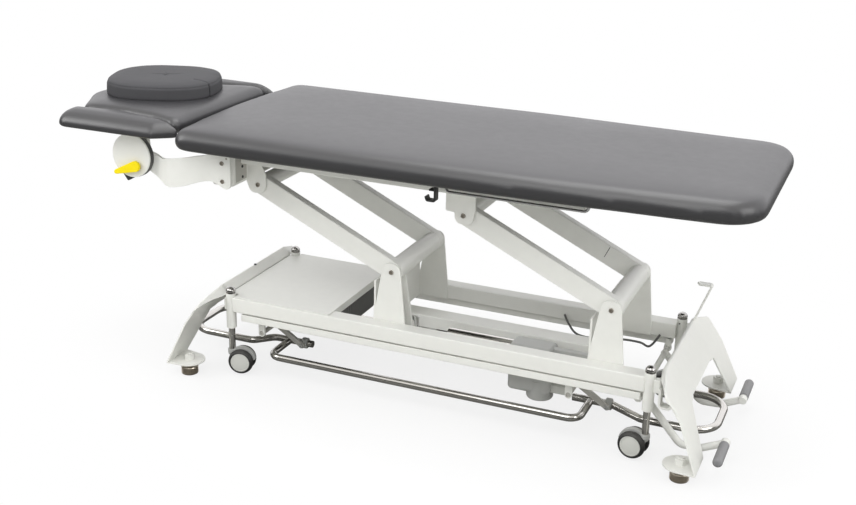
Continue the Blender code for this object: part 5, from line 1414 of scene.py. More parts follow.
@dataclass
class Drive:
    """Fixed half of the actuator, its rod's finish and the motor cable."""

    gear_low: Point = (0.212, -0.1235, 0.085)
    gear_high: Point = (0.335, -0.0535, 0.222)
    tube_head: float = 0.024
    tube_radius: float = 0.021
    rod_bore: float = 0.0105
    motor_x: float = 0.298
    motor_radius: float = 0.0375
    motor_bottom: float = 0.065
    motor_top: float = 0.125
    cable_radius: float = 0.0032
    cable_route: tuple = (
        (0.2865, 0.1587, 0.2144), (0.3045, 0.147, 0.1919), (0.3355, 0.139, 0.1679), (0.4035, 0.139, 0.1659),
        (0.4655, 0.141, 0.1769), (0.5155, 0.145, 0.1759), (0.5435, 0.149, 0.1679), (0.5685, 0.1587, 0.2039),
    )

    def build(self, shop: Workshop) -> None:
        """Make the actuator and its cable.

        Args:
            shop: where the pieces go.
        """
        y, z = L.yoke_y, L.rod_z
        case = Stock.block(self.gear_low, self.gear_high, 0.012, 4)
        case = Stock.cut(case, [Stock.pin((0.1, y, z), (1, 0, 0), self.rod_bore, 0.215)])
        length = self.gear_low[0] + 0.004 - self.tube_head
        tube = Outline.sleeve(self.rod_bore, self.tube_radius, length)
        barrel = Stock.turned(tube, (self.tube_head, y, z), (1, 0, 0), 40)
        shop.place("actuator_barrel", barrel, POLISHED, "base")
        parts = [case]
        r, low = self.motor_radius, self.motor_bottom
        profile = [(0, low + 0.0035), (r - 0.010, low + 0.003), (r - 0.006, low), (r - 0.002, low + 0.002),
                   (r, low + 0.006), (r, 0.122), (r - 0.003, self.motor_top), (0, self.motor_top)]
        parts.append(Stock.turned(profile, (self.motor_x, y, 0.0), (0, 0, 1), 56))
        parts.append(Stock.block((0.315, y - 0.010, z - 0.020), (L.lift_pivots[1] - L.web_face, y + 0.010, z + 0.020),
                                 0.002))
        shop.place("actuator_case", Stock.join(parts), HOUSING, "base", ("actuator",))
        box = Stock.block((0.318, y - 0.018, 0.0905), (0.380, y + 0.018, 0.114), 0.003)
        shop.place("actuator_plug", box, HUB, "base")
        seal = [(0, 0.0030), (r - 0.0098, 0.0030), (r - 0.0098, 0.0012), (0, 0.0006)]
        shop.place("motor_end", Stock.turned(seal, (self.motor_x, y, low), (0, 0, 1), 40), DARK, "base")
        shop.coat(CHROME, "actuator_rod")
        self._cable(shop)

    def _cable(self, shop: Workshop) -> None:
        """Run the motor cable along the far rail as a curve.

        Args:
            shop: where the piece goes.
        """
        path = [place + Vector(L.shift) for place in Outline.eased([Vector(knot) for knot in self.cable_route], 8)]
        obj = show("motor_cable_run", Stock.line("motor_cable_line", path, self.cable_radius, 5))
        shop.bind(obj, CASE, "base", ("motor_cable",))


@dataclass
class Castor:
    """One castor: chrome stem, plastic housing, and a twin wheel with tyres and hub caps."""

    name: str
    direction: int
    sign: int
    heading: float
    trail: float = 0.029
    axle_z: float = 0.0405
    radius: float = 0.0375
    inner: float = 0.009
    width: float = 0.020
    stem_radius: float = 0.0095
    stem_top: float = 0.236
    barrel: float = 0.0135
    top: float = 0.0745

    def build(self, shop: Workshop) -> None:
        """Make the castor's pieces.

        Args:
            shop: where the pieces go.
        """
        post = Vector((self.direction * L.post_half_span, self.sign * L.post_half_track, 0.0))
        turn = Matrix.Translation(post) @ Matrix.Rotation(math.radians(self.heading), 4, "Z")
        r = self.stem_radius
        profile = [(0, self.top + 0.0003), (r, self.top + 0.0003), (r, 0.1200), (r - 0.0007, 0.1206),
                   (r - 0.0007, 0.1222), (r, 0.1228),
                   (r, self.stem_top - 0.001), (r - 0.001, self.stem_top), (0, self.stem_top)]
        shop.place(f"stem_{self.name}", Stock.turned(profile, post, (0, 0, 1), 40), POLISHED,
                   f"castor_stem_{self.name}", (f"castor_stem_{self.name}",))
        shop.place(f"housing_{self.name}", Stock.moved(self._housing(), turn), HOUSING, f"castor_fork_{self.name}",
                   (f"castor_housing_{self.name}",))
        body = f"castor_wheel_{self.name}"
        tyres = Stock.join([Stock.turned(self._tyre(), (self.trail, 0, self.axle_z), (0, s, 0), 64) for s in (-1, 1)])
        shop.place(f"tyres_{self.name}", Stock.moved(tyres, turn), TYRE, body, (f"castor_wheel_{self.name}",))
        hubs = Stock.join([Stock.turned(self._hub(), (self.trail, 0, self.axle_z), (0, s, 0), 56) for s in (-1, 1)])
        shop.place(f"hubs_{self.name}", Stock.moved(hubs, turn), HUB, body)

    def _tyre(self) -> list[Flat]:
        """Profile of one tyre. Returns (radius, height) points."""
        a, b, r = self.inner, self.inner + self.width, self.radius
        profile = [(0.0290, a + 0.001), (r - 0.0035, a), (r - 0.001, a + 0.0012)]
        for i in range(7):
            share = i / 6
            profile.append((r - 0.0016 * (2 * share - 0.7) ** 2, a + 0.002 + (self.width - 0.006) * share))
        return profile + [(r - 0.0042, b - 0.0020), (r - 0.0068, b - 0.0006), (0.0290, b - 0.0010),
                          (0.0285, b - 0.003), (0.0285, a + 0.003), (0.0290, a + 0.001)]

    def _hub(self) -> list[Flat]:
        """Profile of one hub cap with a shallow dome and the axle behind it. Returns (radius, height) points."""
        a, b = self.inner, self.inner + self.width
        return [(0.0, 0.0), (0.0042, 0.0), (0.0042, a + 0.0006), (0.0283, a + 0.0020), (0.0283, b - 0.0022),
                (0.0276, b - 0.0014),
                (0.0252, b - 0.0012), (0.0246, b - 0.0022), (0.0236, b - 0.0022), (0.0200, b - 0.0013),
                (0.0110, b - 0.0007), (0.0, b - 0.0005)]

    def _housing(self) -> bmesh.types.BMesh:
        """Make the arched web between the wheels and the barrel. Returns the form."""
        t, z = self.trail, self.axle_z
        web = self.inner - 0.002
        crown = self.radius + 0.0042
        outline = [(t + crown * math.cos(math.radians(a)), z + crown * math.sin(math.radians(a)))
                   for a in range(8, 121, 8)]
        outline += [(-self.barrel + 0.002, self.top - 0.0006), (-self.barrel + 0.002, z + 0.018),
                    (t - 0.010, z - 0.012), (t + 0.016, z - 0.012)]
        body = Stock.plate(outline, Axis.Y, -web, web, 0.0012)
        body = Stock.cut(body, [Stock.pin((t, -0.02, z), (0, 1, 0), 0.0047, 0.04)])
        low = z + self.radius * 0.55
        barrel = Stock.pin((0, 0, low), (0, 0, 1), self.barrel, self.top - low, 0.0015, 40)
        return Stock.join([body, barrel])


@dataclass
class FootBar:
    """Run-round foot bar: loops with clamps, side bars, and the two cranks that carry it."""

    radius: float = 0.0105
    side_y: float = 0.185
    side_x: Flat = (-0.502, 0.436)
    inner_y: float = 0.058
    loop_y: float = 0.108
    bend: float = 0.035
    end_bend: float = 0.070
    loops: dict = field(default_factory=lambda: {"head": (-0.425, -0.552, -0.602, -0.822),
                                                 "foot": (0.385, 0.496, 0.588, 0.782)})
    clamp_radius: float = 0.0165
    clamp_width: float = 0.018
    link_y: float = 0.0795
    link_thick: float = 0.008
    link_half: float = 0.0085
    link_shaft: float = 0.007
    link_pin: float = 0.005
    link_bore: float = 0.0056
    link_bolt: Flat = (0.0068, 0.0042)
    pin_start: float = 0.012

    def build(self, shop: Workshop) -> None:
        """Make the bars, the clamps and the cranks.

        Args:
            shop: where the pieces go.
        """
        for (end, _), clamp_x in zip(Ends, L.clamps):
            self._loop(shop, end, clamp_x)
            self._crank(shop, end, clamp_x)
        root = self.inner_y + self.radius + 0.0003
        for side, sign in Sides:
            route = [(self.side_x[0], sign * root, L.bar_z), (self.side_x[0], sign * self.side_y, L.bar_z),
                     (self.side_x[1], sign * self.side_y, L.bar_z), (self.side_x[1], sign * root, L.bar_z)]
            bar = Stock.rod(Outline.bent(route, self.bend, 12), self.radius, 6)
            shop.place(f"side_bar_{side}", bar, POLISHED, "foot_bar", (f"foot_bar_{side}",))

    def _loop(self, shop: Workshop, end: str, clamp_x: float) -> None:
        """Make the loop at one end.

        Args:
            shop: where the pieces go.
            end: the end's name.
            clamp_x: where its clamps sit.
        """
        cut, waist, flare, tip = self.loops[end]
        half = [(cut, -self.inner_y, L.bar_z), (waist, -self.inner_y, L.bar_z), (flare, -self.loop_y, L.bar_z),
                (tip, -self.loop_y, L.bar_z)]
        start = Outline.bent(half, self.bend, 10)[:-1]
        turn = Outline.arc(Vector(half[3]), Vector(half[2]), Vector((tip, self.loop_y, L.bar_z)), self.end_bend, 14)
        near = start + turn
        route = near + [Vector((p.x, -p.y, p.z)) for p in reversed(near)]
        shop.place(f"loop_bar_{end}", Stock.rod(route, self.radius, 6), POLISHED, "foot_bar", (f"foot_bar_{end}",))
        clamps = []
        for _, sign in Sides:
            ring = Outline.sleeve(self.radius - 0.0002, self.clamp_radius, self.clamp_width, 0.002)
            seat = (clamp_x - self.clamp_width / 2, sign * self.inner_y, L.bar_z)
            clamps.append(Stock.turned(ring, seat, (1, 0, 0), 40))
            reach = self.link_y + self.link_thick / 2 + 0.0005 - self.inner_y - self.pin_start
            clamps.append(Stock.pin((clamp_x, sign * (self.inner_y + self.pin_start), L.bar_z), (0, sign, 0),
                                    self.link_pin, reach))
            clamps.append(Stock.bolt((clamp_x, sign * (self.link_y + self.link_thick / 2 + 0.0008), L.bar_z),
                                     (0, sign, 0), *self.link_bolt))
        shop.place(f"bar_clamps_{end}", Stock.join(clamps), HOUSING, "foot_bar")

    def _crank(self, shop: Workshop, end: str, clamp_x: float) -> None:
        """Make the crank at one end.

        Args:
            shop: where the piece goes.
            end: the end's name.
            clamp_x: where its outer pivots are.
        """
        x = clamp_x - L.link_run
        reach = L.ear_outer - 0.001
        parts = [Stock.pin((x, -reach, L.link_shaft_z), (0, 1, 0), self.link_shaft, 2 * reach)]
        outline = Outline.stadium((x, L.link_shaft_z), (clamp_x, L.bar_z), self.link_half)
        for _, sign in Sides:
            low = sign * self.link_y - self.link_thick / 2
            plate = Stock.plate(outline, Axis.Y, low, low + self.link_thick, 0.0010)
            parts.append(Stock.cut(plate, [Stock.pin((clamp_x, low - 0.01, L.bar_z), (0, 1, 0), self.link_bore,
                                                     0.03)]))
        shop.place(f"bar_crank_{end}_weldment", Stock.join(parts), LINK_PAINT_AND_SHADE, f"bar_crank_{end}",
                   (f"bar_crank_{end}",))


@dataclass
class Pedals:
    """Castor pedals on their cross shaft, with rubber grips."""

    y: float = 0.138
    tube: float = 0.010
    runs: tuple = ((0.050, -0.057), (0.112, -0.128), (0.168, -0.126), (0.228, -0.098))
    grip_start: float = 0.150
    grip_end: float = 0.257
    grip_radius: float = 0.013
    lever_y: float = 0.176
    lever: float = 0.020
    lever_half: float = 0.0035
    lever_pin: Flat = (0.004, 0.0132)
    arm_bend: float = 0.030
    slot_half: float = 0.0046
    slot_rise: float = 0.003
    slot_y: Flat = (0.170, 0.1915)
    bar_x: Flat = (-0.582, 0.600)
    bar_y: Flat = (0.1822, 0.2060)
    bar_gap: float = 0.0045
    bar_height: float = 0.0205

    def build(self, shop: Workshop) -> None:
        """Make the pedals.

        Args:
            shop: where the pieces go.
        """
        x, z = L.pedal_shaft
        reach = self.lever_y + 0.003
        parts = [Stock.pin((x, -reach, z), (0, 1, 0), L.shaft_radius, 2 * reach)]
        tip = (x + self.runs[-1][0], z + self.runs[-1][1])
        for side, sign in Sides:
            route = [(x - 0.004, sign * self.y, z + 0.006)] + [(x + a, sign * self.y, z + b) for a, b in self.runs]
            arm = Stock.rod(Outline.bent(route, self.arm_bend, 8), self.tube, 5)
            parts.append(arm)
            profile = [(0, 0), (self.tube, 0.001), (self.tube + 0.0020, 0.004), (self.tube + 0.0020, 0.018),
                       (self.tube, 0.0215), (0, 0.0225)]
            parts.append(Stock.turned(profile, (tip[0], sign * (self.y - 0.0115), tip[1]), (0, sign, 0), 32))
            parts.append(Stock.pin((tip[0], sign * self.y, tip[1]), (0, sign, 0), self.tube - 0.0005,
                                   self.grip_end - self.y - 0.006))
            outline = Outline.stadium((x, z), (x, z + self.lever), 0.011, 0.007)
            y = sign * self.lever_y
            parts.append(Stock.plate(outline, Axis.Y, y - self.lever_half, y + self.lever_half, 0.0008))
            parts.append(Stock.pin((x, y, z + self.lever), (0, sign, 0), *self.lever_pin))
            shop.place(f"grip_{side}", self._grip(tip, sign), RUBBER, "pedals", (f"pedal_grip_{side}",))
        shop.place("pedal_weldment", Stock.join(parts), PAINT, "pedals", ("pedal_frame",))
        top, hole = L.rail_bottom - self.bar_gap, (x, z + self.lever)
        for side, sign in Sides:
            low, high = sorted((sign * self.bar_y[0], sign * self.bar_y[1]))
            bar = Stock.block((self.bar_x[0], low, top - self.bar_height), (self.bar_x[1], high, top), 0.002)
            ends = [(hole[0], hole[1] + rise) for rise in (-self.slot_rise, self.slot_rise)]
            slot = Stock.plate(Outline.stadium(*ends, self.slot_half), Axis.Y, *(sign * y for y in self.slot_y))
            shop.place(f"slide_bar_{side}", Stock.cut(bar, [slot]), PAINT, f"link_bar_{side}", (f"link_bar_{side}",))

    def _grip(self, tip: Flat, sign: int) -> bmesh.types.BMesh:
        """Make one rubber grip with a rounded end.

        Args:
            tip: where the grip's axis is.
            sign: the side's sign.

        Returns:
            The grip.
        """
        r, length, bore = self.grip_radius, self.grip_end - self.grip_start, self.tube + 0.0006
        profile = [(bore, 0), (r - 0.002, 0), (r, 0.002)]
        for i in range(8):
            angle = math.pi / 2 * i / 7
            profile.append((0.004 + (r - 0.004) * math.cos(angle), length - 0.009 + 0.009 * math.sin(angle)))
        profile += [(0, length), (0, length - 0.0035), (bore, length - 0.0035), (bore, 0)]
        return Stock.turned(profile, (tip[0], sign * self.grip_start, tip[1]), (0, sign, 0), 40)


@dataclass
class TableFrame:
    """Crossbeams, side rails, ears and fittings under the main cushion."""

    beam: Flat = (-0.6407, -0.5727)
    beam_half: float = 0.242
    beam_bottom: float = 0.588
    foot_beam: Flat = (0.029, 0.117)
    rail_inner: float = 0.170
    rail_width: float = 0.030
    rail_height: float = 0.040
    rail_foot: float = 0.420
    pin_reach: float = 0.128
    rod_x: tuple = (0.050, 0.428, 0.440)
    rod_y: float = -0.213
    rod_z: float = 0.657
    rod_radius: float = 0.004
    clip_drops: tuple = ((0.038, 0.0), (0.038, 0.047), (0.016, 0.047), (0.012, 0.036))
    clip_y: Flat = (-0.261, -0.239)
    screw_y: float = -0.19
    screw_z: Flat = (0.637, 0.607)
    ear_screw: Flat = (0.092, 0.655)
    # Where the panel of painted shade sits on the head crossbeam's face.
    recess_shade_y: Flat = (-0.226, -0.167)
    recess_shade_z: Flat = (0.598, 0.681)

    def build(self, shop: Workshop) -> None:
        """Make the frame and its fittings.

        Args:
            shop: where the pieces go.
        """
        top = L.frame_top
        beam = Stock.block((self.beam[0], -self.beam_half, self.beam_bottom), (self.beam[1], self.beam_half, top),
                           0.008, 5)
        x, z, r = L.table_pivots[0], L.table_z, L.ear_radius
        head_ear = Outline.rounded([
            (self.beam[1] - 0.008, top - 0.010, 0.0), (self.beam[1] - 0.008, self.beam_bottom + 0.010, 0.0),
            (x - r, z - r, r * 0.85),
            (x + r, z - r, r * 0.95), (x + r, z + 0.030, 0.010), (x - 0.004, top - 0.010, 0.006),
        ], 10)
        shop.place("head_beam_weldment", Stock.join([beam, *self._ears(head_ear)]), PAINT, "table",
                   ("head_crossbeam",))
        foot = Stock.block((self.foot_beam[0], -self.rail_inner - 0.004, top - self.rail_height + 0.001),
                           (self.foot_beam[1], self.rail_inner + 0.004, top - 0.001), 0.002)
        rails = []
        for _, sign in Sides:
            low, high = sorted((sign * self.rail_inner, sign * (self.rail_inner + self.rail_width)))
            rails.append(Stock.block((self.beam[1] + 0.0003, low, top - self.rail_height),
                                     (self.rail_foot, high, top), 0.003))
        x = L.table_pivots[1]
        foot_ear = Outline.rounded([
            (self.foot_beam[0] + 0.002, top - 0.010, 0.0), (self.foot_beam[0] + 0.002, z + 0.008, 0.004),
            (x - r, z + 0.006, 0.004),
            (x - r, z - r, r * 0.85), (x + r, z - r, r * 0.85), (self.foot_beam[1] - 0.002, z + 0.016, 0.010),
            (self.foot_beam[1] - 0.002, top - 0.010, 0.0),
        ], 10)
        shop.place("under_frame_weldment", Stock.join([foot, *rails, *self._ears(foot_ear)]), PAINT, "table",
                   ("table_frame",))
        pins = []
        for x in L.table_pivots:
            for _, sign in Sides:
                pins.append(Stock.pin((x, sign * self.pin_reach, z), (0, sign, 0), L.shaft_radius,
                                      L.ear_inner + 0.002 - self.pin_reach))
                pins.append(Stock.bolt((x, sign * (L.ear_outer + L.seat_gap), z), (0, sign, 0), *L.pivot_bolt, 0.50))
        shop.place("table_pins", Stock.join(pins), STEEL, "table")
        self._fittings(shop)

    @staticmethod
    def _ears(outline: list[Flat]) -> list[bmesh.types.BMesh]:
        """Make an ear on each side.

        Args:
            outline: the ear's outline.

        Returns:
            The two ears.
        """
        return [Stock.plate(outline, Axis.Y, sign * L.ear_inner, sign * L.ear_outer, 0.0012) for _, sign in Sides]

    def _fittings(self, shop: Workshop) -> None:
        """Make the side rod, the handset hook and the beam's screws.

        Args:
            shop: where the pieces go.
        """
        top = L.frame_top
        head, foot, tip = self.rod_x
        y, z = self.rod_y, self.rod_z
        route = [(head, y, top), (head, y, z), (foot, y, z), (tip, y, top - 0.0016)]
        rod = Stock.rod(Outline.bent(route, 0.012, 8), self.rod_radius, 4)
        shop.place("side_rod_bar", rod, CHROME, "table", ("side_rod",))
        low, high = self.clip_y
        hook = Stock.strap([(x, top - drop) for x, drop in self.clip_drops], 0.004, 0.005, low, high, 0.0009)
        ledge = Stock.block((0.022, low, top - 0.020), (0.037, high, top - 0.0155), 0.0009)
        shop.place("handset_clip", Stock.join([hook, ledge]), DARK, "table", ("handset_hook",))
        face = self.beam[1]
        dots = [Stock.bolt((face + 0.0002, self.screw_y, z), (1, 0, 0), 0.0042, 0.0018) for z in self.screw_z]
        place = (self.ear_screw[0], -L.ear_outer - 0.0002, self.ear_screw[1])
        dots += [Stock.bolt(place, (0, -1, 0), 0.0035, 0.0018)]
        shop.place("beam_screws", Stock.join(dots), DARK, "table")
        # A thin panel in the darker link colour stands for the recess in the crossbeam's face: painted shade, not a
        # cut recess.
        panel = Stock.block((face - 0.001, self.recess_shade_y[0], self.recess_shade_z[0]),
                            (face + 0.0001, self.recess_shade_y[1], self.recess_shade_z[1]), 0.0)
        shop.place("beam_recess_shade", panel, LINK_PAINT_AND_SHADE, "table")
        shop.coat(PLYWOOD, "board")


@dataclass
class HeadSupport:
    """Support arm, hinge drum with its dark rim, and the lock lever of one side."""

    side: str
    sign: int
    outer: float = 0.2523
    thick: float = 0.010
    joggle: float = 0.020
    crease: float = 0.006
    disc: float = 0.050
    drum_radius: float = 0.0635
    rim_radius: float = 0.0642
    drum_inner: float = 0.2327
    rim_width: float = 0.0150
    cap_width: float = 0.0050
    edge: float = 0.0020
    bore: float = 0.0103
    bolts: tuple = ((-0.600, 0.657), (-0.600, 0.605))
    dot: Flat = (-0.585, 0.672)
    pointer: tuple = ((-0.0480, -0.0420, 0.002), (-0.0210, -0.0790, 0.004), (0.0120, -0.0600, 0.002))
    lever_hub: Flat = (0.014, -0.032)
    lever_run: Flat = (-0.060, -0.018)
    stations: tuple = (
        (-0.866, 0.606, 0.660, 1.0), (-0.832, 0.586, 0.650, 1.0), (-0.806, 0.573, 0.642, 0.55),
        (-0.778, 0.5645, 0.645, 0.0),
        (-0.731, 0.573, 0.654, 0.0), (-0.690, 0.588, 0.664, 0.0), (-0.655, 0.598, 0.673, 0.0),
        (-0.628, 0.599, 0.6865, 0.0), (-0.590, 0.583, 0.6865, 0.0), (-0.574, 0.594, 0.683, 0.0),
    )

    def build(self, shop: Workshop) -> None:
        """Make the side's pieces.

        Args:
            shop: where the pieces go.
        """
        x, z = L.drum
        arm = Stock.ease(Stock.loft(self._sections()), 0.0012, 2, 50.0)
        inner = self.outer - self.joggle - self.thick
        ring = Outline.sleeve(self.bore, self.disc, self.thick, 0.001)
        disc = Stock.turned(ring, (x, self.sign * inner, z), (0, self.sign, 0), 56)
        shop.place(f"support_{self.side}", Stock.join([arm, disc]), PAINT, "table", (f"support_arm_{self.side}",))
        face = self.sign * (self.outer + 0.0002)
        across = (0, self.sign, 0)
        bolts = [Stock.bolt((bx, face, bz), across, 0.0062, 0.0028) for bx, bz in self.bolts]
        seat = (self.dot[0], self.sign * (self.outer - 0.001), self.dot[1])
        bolts.append(Stock.pin(seat, across, 0.003, 0.0013, 0.0002, 16))
        shop.place(f"support_bolts_{self.side}", Stock.join(bolts), STEEL, "table")
        self._drum(shop)
        if self.side == "near":
            self._lever(shop)

    def _sections(self) -> list[list[Vector]]:
        """Interpolate the arm's stations. Returns its sections."""
        fine = Outline.eased(list(self.stations), 6)
        sections = []
        for x, low, high, shift in fine:
            shift = min(1.0, max(0.0, shift))
            outer = self.outer - self.joggle * shift
            inner = outer - self.thick
            middle = low + (high - low) * 0.52
            fade = min(1.0, max(0.0, (-0.655 - x) / 0.03))
            crease = self.crease * (1.0 - shift) * fade
            ring = [(outer, low), (outer, middle), (outer - crease, high), (inner - crease, high), (inner, middle),
                    (inner, low)]
            sections.append([Vector((x, self.sign * y, z)) for y, z in ring])
        return sections

    def _drum(self, shop: Workshop) -> None:
        """Make the drum's cap, its rim and its dark pointer.

        Args:
            shop: where the pieces go.
        """
        x, z = L.drum
        r, start, end = self.drum_radius, self.rim_width, self.rim_width + self.cap_width
        e = self.edge
        cap = [(0.0, start), (r - 0.0010, start), (r, start + 0.0008)]
        for i in range(6):
            angle = math.pi / 2 * i / 5
            cap.append((r - e + e * math.cos(angle), end - e + e * math.sin(angle)))
        cap.append((0.0, end))
        place = (x, self.sign * self.drum_inner, z)
        shop.place(f"drum_cap_{self.side}", Stock.turned(cap, place, (0, self.sign, 0), 80), PAINT, "head_section",
                   (f"hinge_drum_{self.side}",))
        r = self.rim_radius
        rim = [(0.0, 0.0), (r - 0.0008, 0.0), (r, 0.0008), (r, start - 0.0020), (r - 0.0012, start - 0.0008),
               (0.0, start - 0.0002)]
        shop.place(f"drum_rim_{self.side}", Stock.turned(rim, place, (0, self.sign, 0), 80), RIM, "head_section")
        corners = [(x + run, z + rise, bend) for run, rise, bend in self.pointer]
        low = self.sign * (self.drum_inner + 0.0005)
        pointer = Stock.plate(Outline.rounded(corners, 5), Axis.Y, low, low + self.sign * 0.012, 0.001)
        shop.place(f"drum_pointer_{self.side}", pointer, DARK, "head_section")

    def _lever(self, shop: Workshop) -> None:
        """Make the yellow lock lever.

        Args:
            shop: where the piece goes.
        """
        hub = (L.drum[0] + self.lever_hub[0], L.drum[1] + self.lever_hub[1])
        tip = (hub[0] + self.lever_run[0], hub[1] + self.lever_run[1])
        face = -(self.drum_inner + self.rim_width + self.cap_width + 0.0003)
        boss = (hub[0] + 0.005, hub[1] + 0.005)
        handle = Stock.plate(Outline.stadium(boss, tip, 0.0160, 0.0070, 20), Axis.Y, face - 0.0135, face - 0.0035,
                             0.0032)
        collar = Stock.pin((hub[0], face, hub[1]), (0, -1, 0), 0.0105, 0.006, 0.0006, 40)
        shop.place("lever_grip", Stock.join([handle, collar]), LEVER, "lock_lever", ("lock_lever",))


@dataclass(frozen=True)
class Cover:
    """Plan outline of one padded piece, and its rings as (inset, share of the height, shift towards the middle)."""

    node: str
    corners: tuple
    rings: tuple
    points: int = 360


@dataclass
class Upholstery:
    """Padded pieces, grown by a pressure simulation from the CAD forms or from outlines of their own."""

    pressure: float = 4.0
    frames: int = 20
    ease: int = 60
    head_x: float = -0.728
    head_bow: float = 0.026
    foot_x: float = 0.872
    half: float = 0.357
    foot_half: float = 0.326
    board: tuple = ((-1.100, -0.272, 0.030), (-0.800, -0.272, 0.015), (-0.800, 0.272, 0.015), (-1.100, 0.272, 0.030))
    board_z: Flat = (0.7089, 0.7157)
    hinge_y: Flat = (0.208, 0.222)
    hole_x: Flat = (-0.990, -0.920)
    hole_radius: float = 0.061
    pillow: Flat = (-0.973, 0.038)
    pillow_half: Flat = (0.168, 0.160)
    pillow_turn: float = 20.0
    pillow_power: float = 2.6
    pillow_points: int = 120
    held: float = 0.006
    stretch: float = 20.0
    bending: float = 2.0
    quality: int = 4

    def build(self, shop: Workshop) -> None:
        """Make every padded piece.

        Args:
            shop: where the pieces go.
        """
        self._pad(shop, "main_cushion", "main_cushion_cover", 0.0104, 0.004, "table", VINYL,
                  form=self._form(self._main()))
        self._pad(shop, "centre_pad", "centre_pad_cover", 0.0060, 0.004, "head_section", VINYL)
        for side, sign in Sides:
            form = self._form(self._armrest(side, sign))
            self._pad(shop, f"armrest_{side}", f"armrest_{side}_cover", 0.0042, 0.0025, "head_section", VINYL,
                      form=form, passes=4)
        self._pad(shop, "pillow", "pillow_cover", 0.0040, 0.003, "pillow", DARK_VINYL, dress=self._tuft,
                  form=self._form(self._pillow()), passes=2)
        self._head_board(shop)

    def _main(self) -> Cover:
        """Outline of the main cushion: bowed head edge, tapered sides, round foot corners. Returns its cover."""
        x, y = self.head_x + self.head_bow, self.half
        side = [(-0.300, -y, 0.0), (0.260, -y, 8.0), (self.foot_x, -self.foot_half, 0.110)]
        bow = [(self.head_x + self.head_bow * (share / 0.97) ** 2, share * y, 0.0)
               for share in (0.78, 0.5, 0.25, 0.0, -0.25, -0.5, -0.78)]
        corners = side + [(a, -b, r) for a, b, r in reversed(side[1:])] + [(x, y, 0.042), *bow, (x, -y, 0.042)]
        rings = ((0.030, 0.0, 0.0), (0.012, 0.06, 0.0), (0.003, 0.20, 0.0), (0.0, 0.36, 0.0), (0.001, 0.50, 0.0),
                 (0.005, 0.66, 0.0),
                 (0.011, 0.80, 0.0), (0.021, 0.905, 0.0), (0.038, 0.96, 0.0), (0.080, 0.988, 0.0), (0.190, 1.0, 0.0))
        return Cover("main_cushion", tuple(corners), rings)

    @staticmethod
    def _armrest(side: str, sign: int) -> Cover:
        """Outline of an armrest: low outer wall, cut off at an angle towards the main cushion.

        Args:
            side: the side's name.
            sign: the side's sign.

        Returns:
            Its cover.
        """
        corners = [(-0.950, 0.317, 0.0), (-0.785, 0.317, 0.010), (-0.720, 0.268, 0.006), (-0.840, 0.231, 0.090),
                   (-0.945, 0.208, 0.120), (-1.118, 0.228, 0.025), (-1.106, 0.317, 0.035)]
        rings = ((0.006, 0.0, 0.0), (0.0, 0.10, 0.0), (0.0, 0.30, 0.0), (0.003, 0.50, 0.001), (0.009, 0.71, 0.004),
                 (0.018, 0.89, 0.009), (0.031, 1.0, 0.015))
        return Cover(f"armrest_{side}", tuple((x, sign * y, r) for x, y, r in corners), rings)

    def _pillow(self) -> Cover:
        """Outline of the loose pillow: a squarish oval with steep walls and a tight top edge. Returns its cover."""
        turn, power = math.radians(self.pillow_turn), 2.0 / self.pillow_power
        long, wide = self.pillow_half
        corners = []
        for step in range(self.pillow_points):
            angle = math.tau * step / self.pillow_points
            c, d = math.cos(angle), math.sin(angle)
            u, v = math.copysign(long * abs(c) ** power, c), math.copysign(wide * abs(d) ** power, d)
            corners.append((self.pillow[0] + u * math.cos(turn) - v * math.sin(turn),
                            self.pillow[1] + u * math.sin(turn) + v * math.cos(turn), 0.0))
        rings = ((0.006, 0.0, 0.0), (0.0, 0.08, 0.0), (0.0, 0.92, 0.0), (0.002, 1.05, 0.0), (0.006, 1.13, 0.0),
                 (0.013, 1.18, 0.0), (0.035, 1.20, 0.0), (0.080, 1.21, 0.0))
        return Cover("pillow", tuple(corners), rings)

    @staticmethod
    def _form(cover: Cover) -> bpy.types.Mesh:
        """Loft a padded piece's rings.

        Args:
            cover: its outline and rings.

        Returns:
            The mesh.
        """
        low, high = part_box(cover.node)
        outline = [Vector(place) for place in Outline.rounded(list(cover.corners), 10)]
        outline = Outline.spaced(outline, cover.points)
        inwards = -math.copysign(1.0, sum(p.y for p in outline))
        sections = []
        for inset, share, shift in cover.rings:
            z = low.z + (high.z - low.z) * share
            ring = Outline.inset(outline, inset) if inset > 0.0 else outline
            sections.append([Vector((p.x, p.y + inwards * shift, z)) for p in ring])
        bm = Stock.loft(sections)
        bmesh.ops.translate(bm, verts=bm.verts, vec=L.shift)
        return Stock.mesh(bm, cover.node + "_form")

    def _head_board(self, shop: Workshop) -> None:
        """Make the board under the head pads, with hinge plates that stay behind the drums.

        Args:
            shop: where the piece goes.
        """
        x, z = L.drum
        low, high = self.board_z
        board = Stock.plate(Outline.rounded(list(self.board), 6), Axis.Z, low, high, 0.001)
        rim = Outline.stadium((self.hole_x[0], 0.0), (self.hole_x[1], 0.0), self.hole_radius)
        hole = Stock.plate(rim, Axis.Z, low - 0.01, high + 0.01)
        parts = [Stock.cut(board, [hole])]
        corners = [(x - 0.052, low + 0.004, 0.0), (x - 0.050, z, 0.010), (x - 0.032, z - 0.034, 0.026),
                   (x + 0.032, z - 0.034, 0.026), (x + 0.040, z, 0.010), (x + 0.034, low + 0.004, 0.0)]
        for _, sign in Sides:
            parts.append(Stock.plate(Outline.rounded(corners, 8), Axis.Y, sign * self.hinge_y[0],
                                     sign * self.hinge_y[1], 0.0008))
            parts.append(Stock.pin((x, sign * (self.hinge_y[1] - 0.004), z), (0, sign, 0), 0.010, 0.0144))
        shop.place("head_board_plate", Stock.join(parts), PAINT, "head_section", ("head_board",))

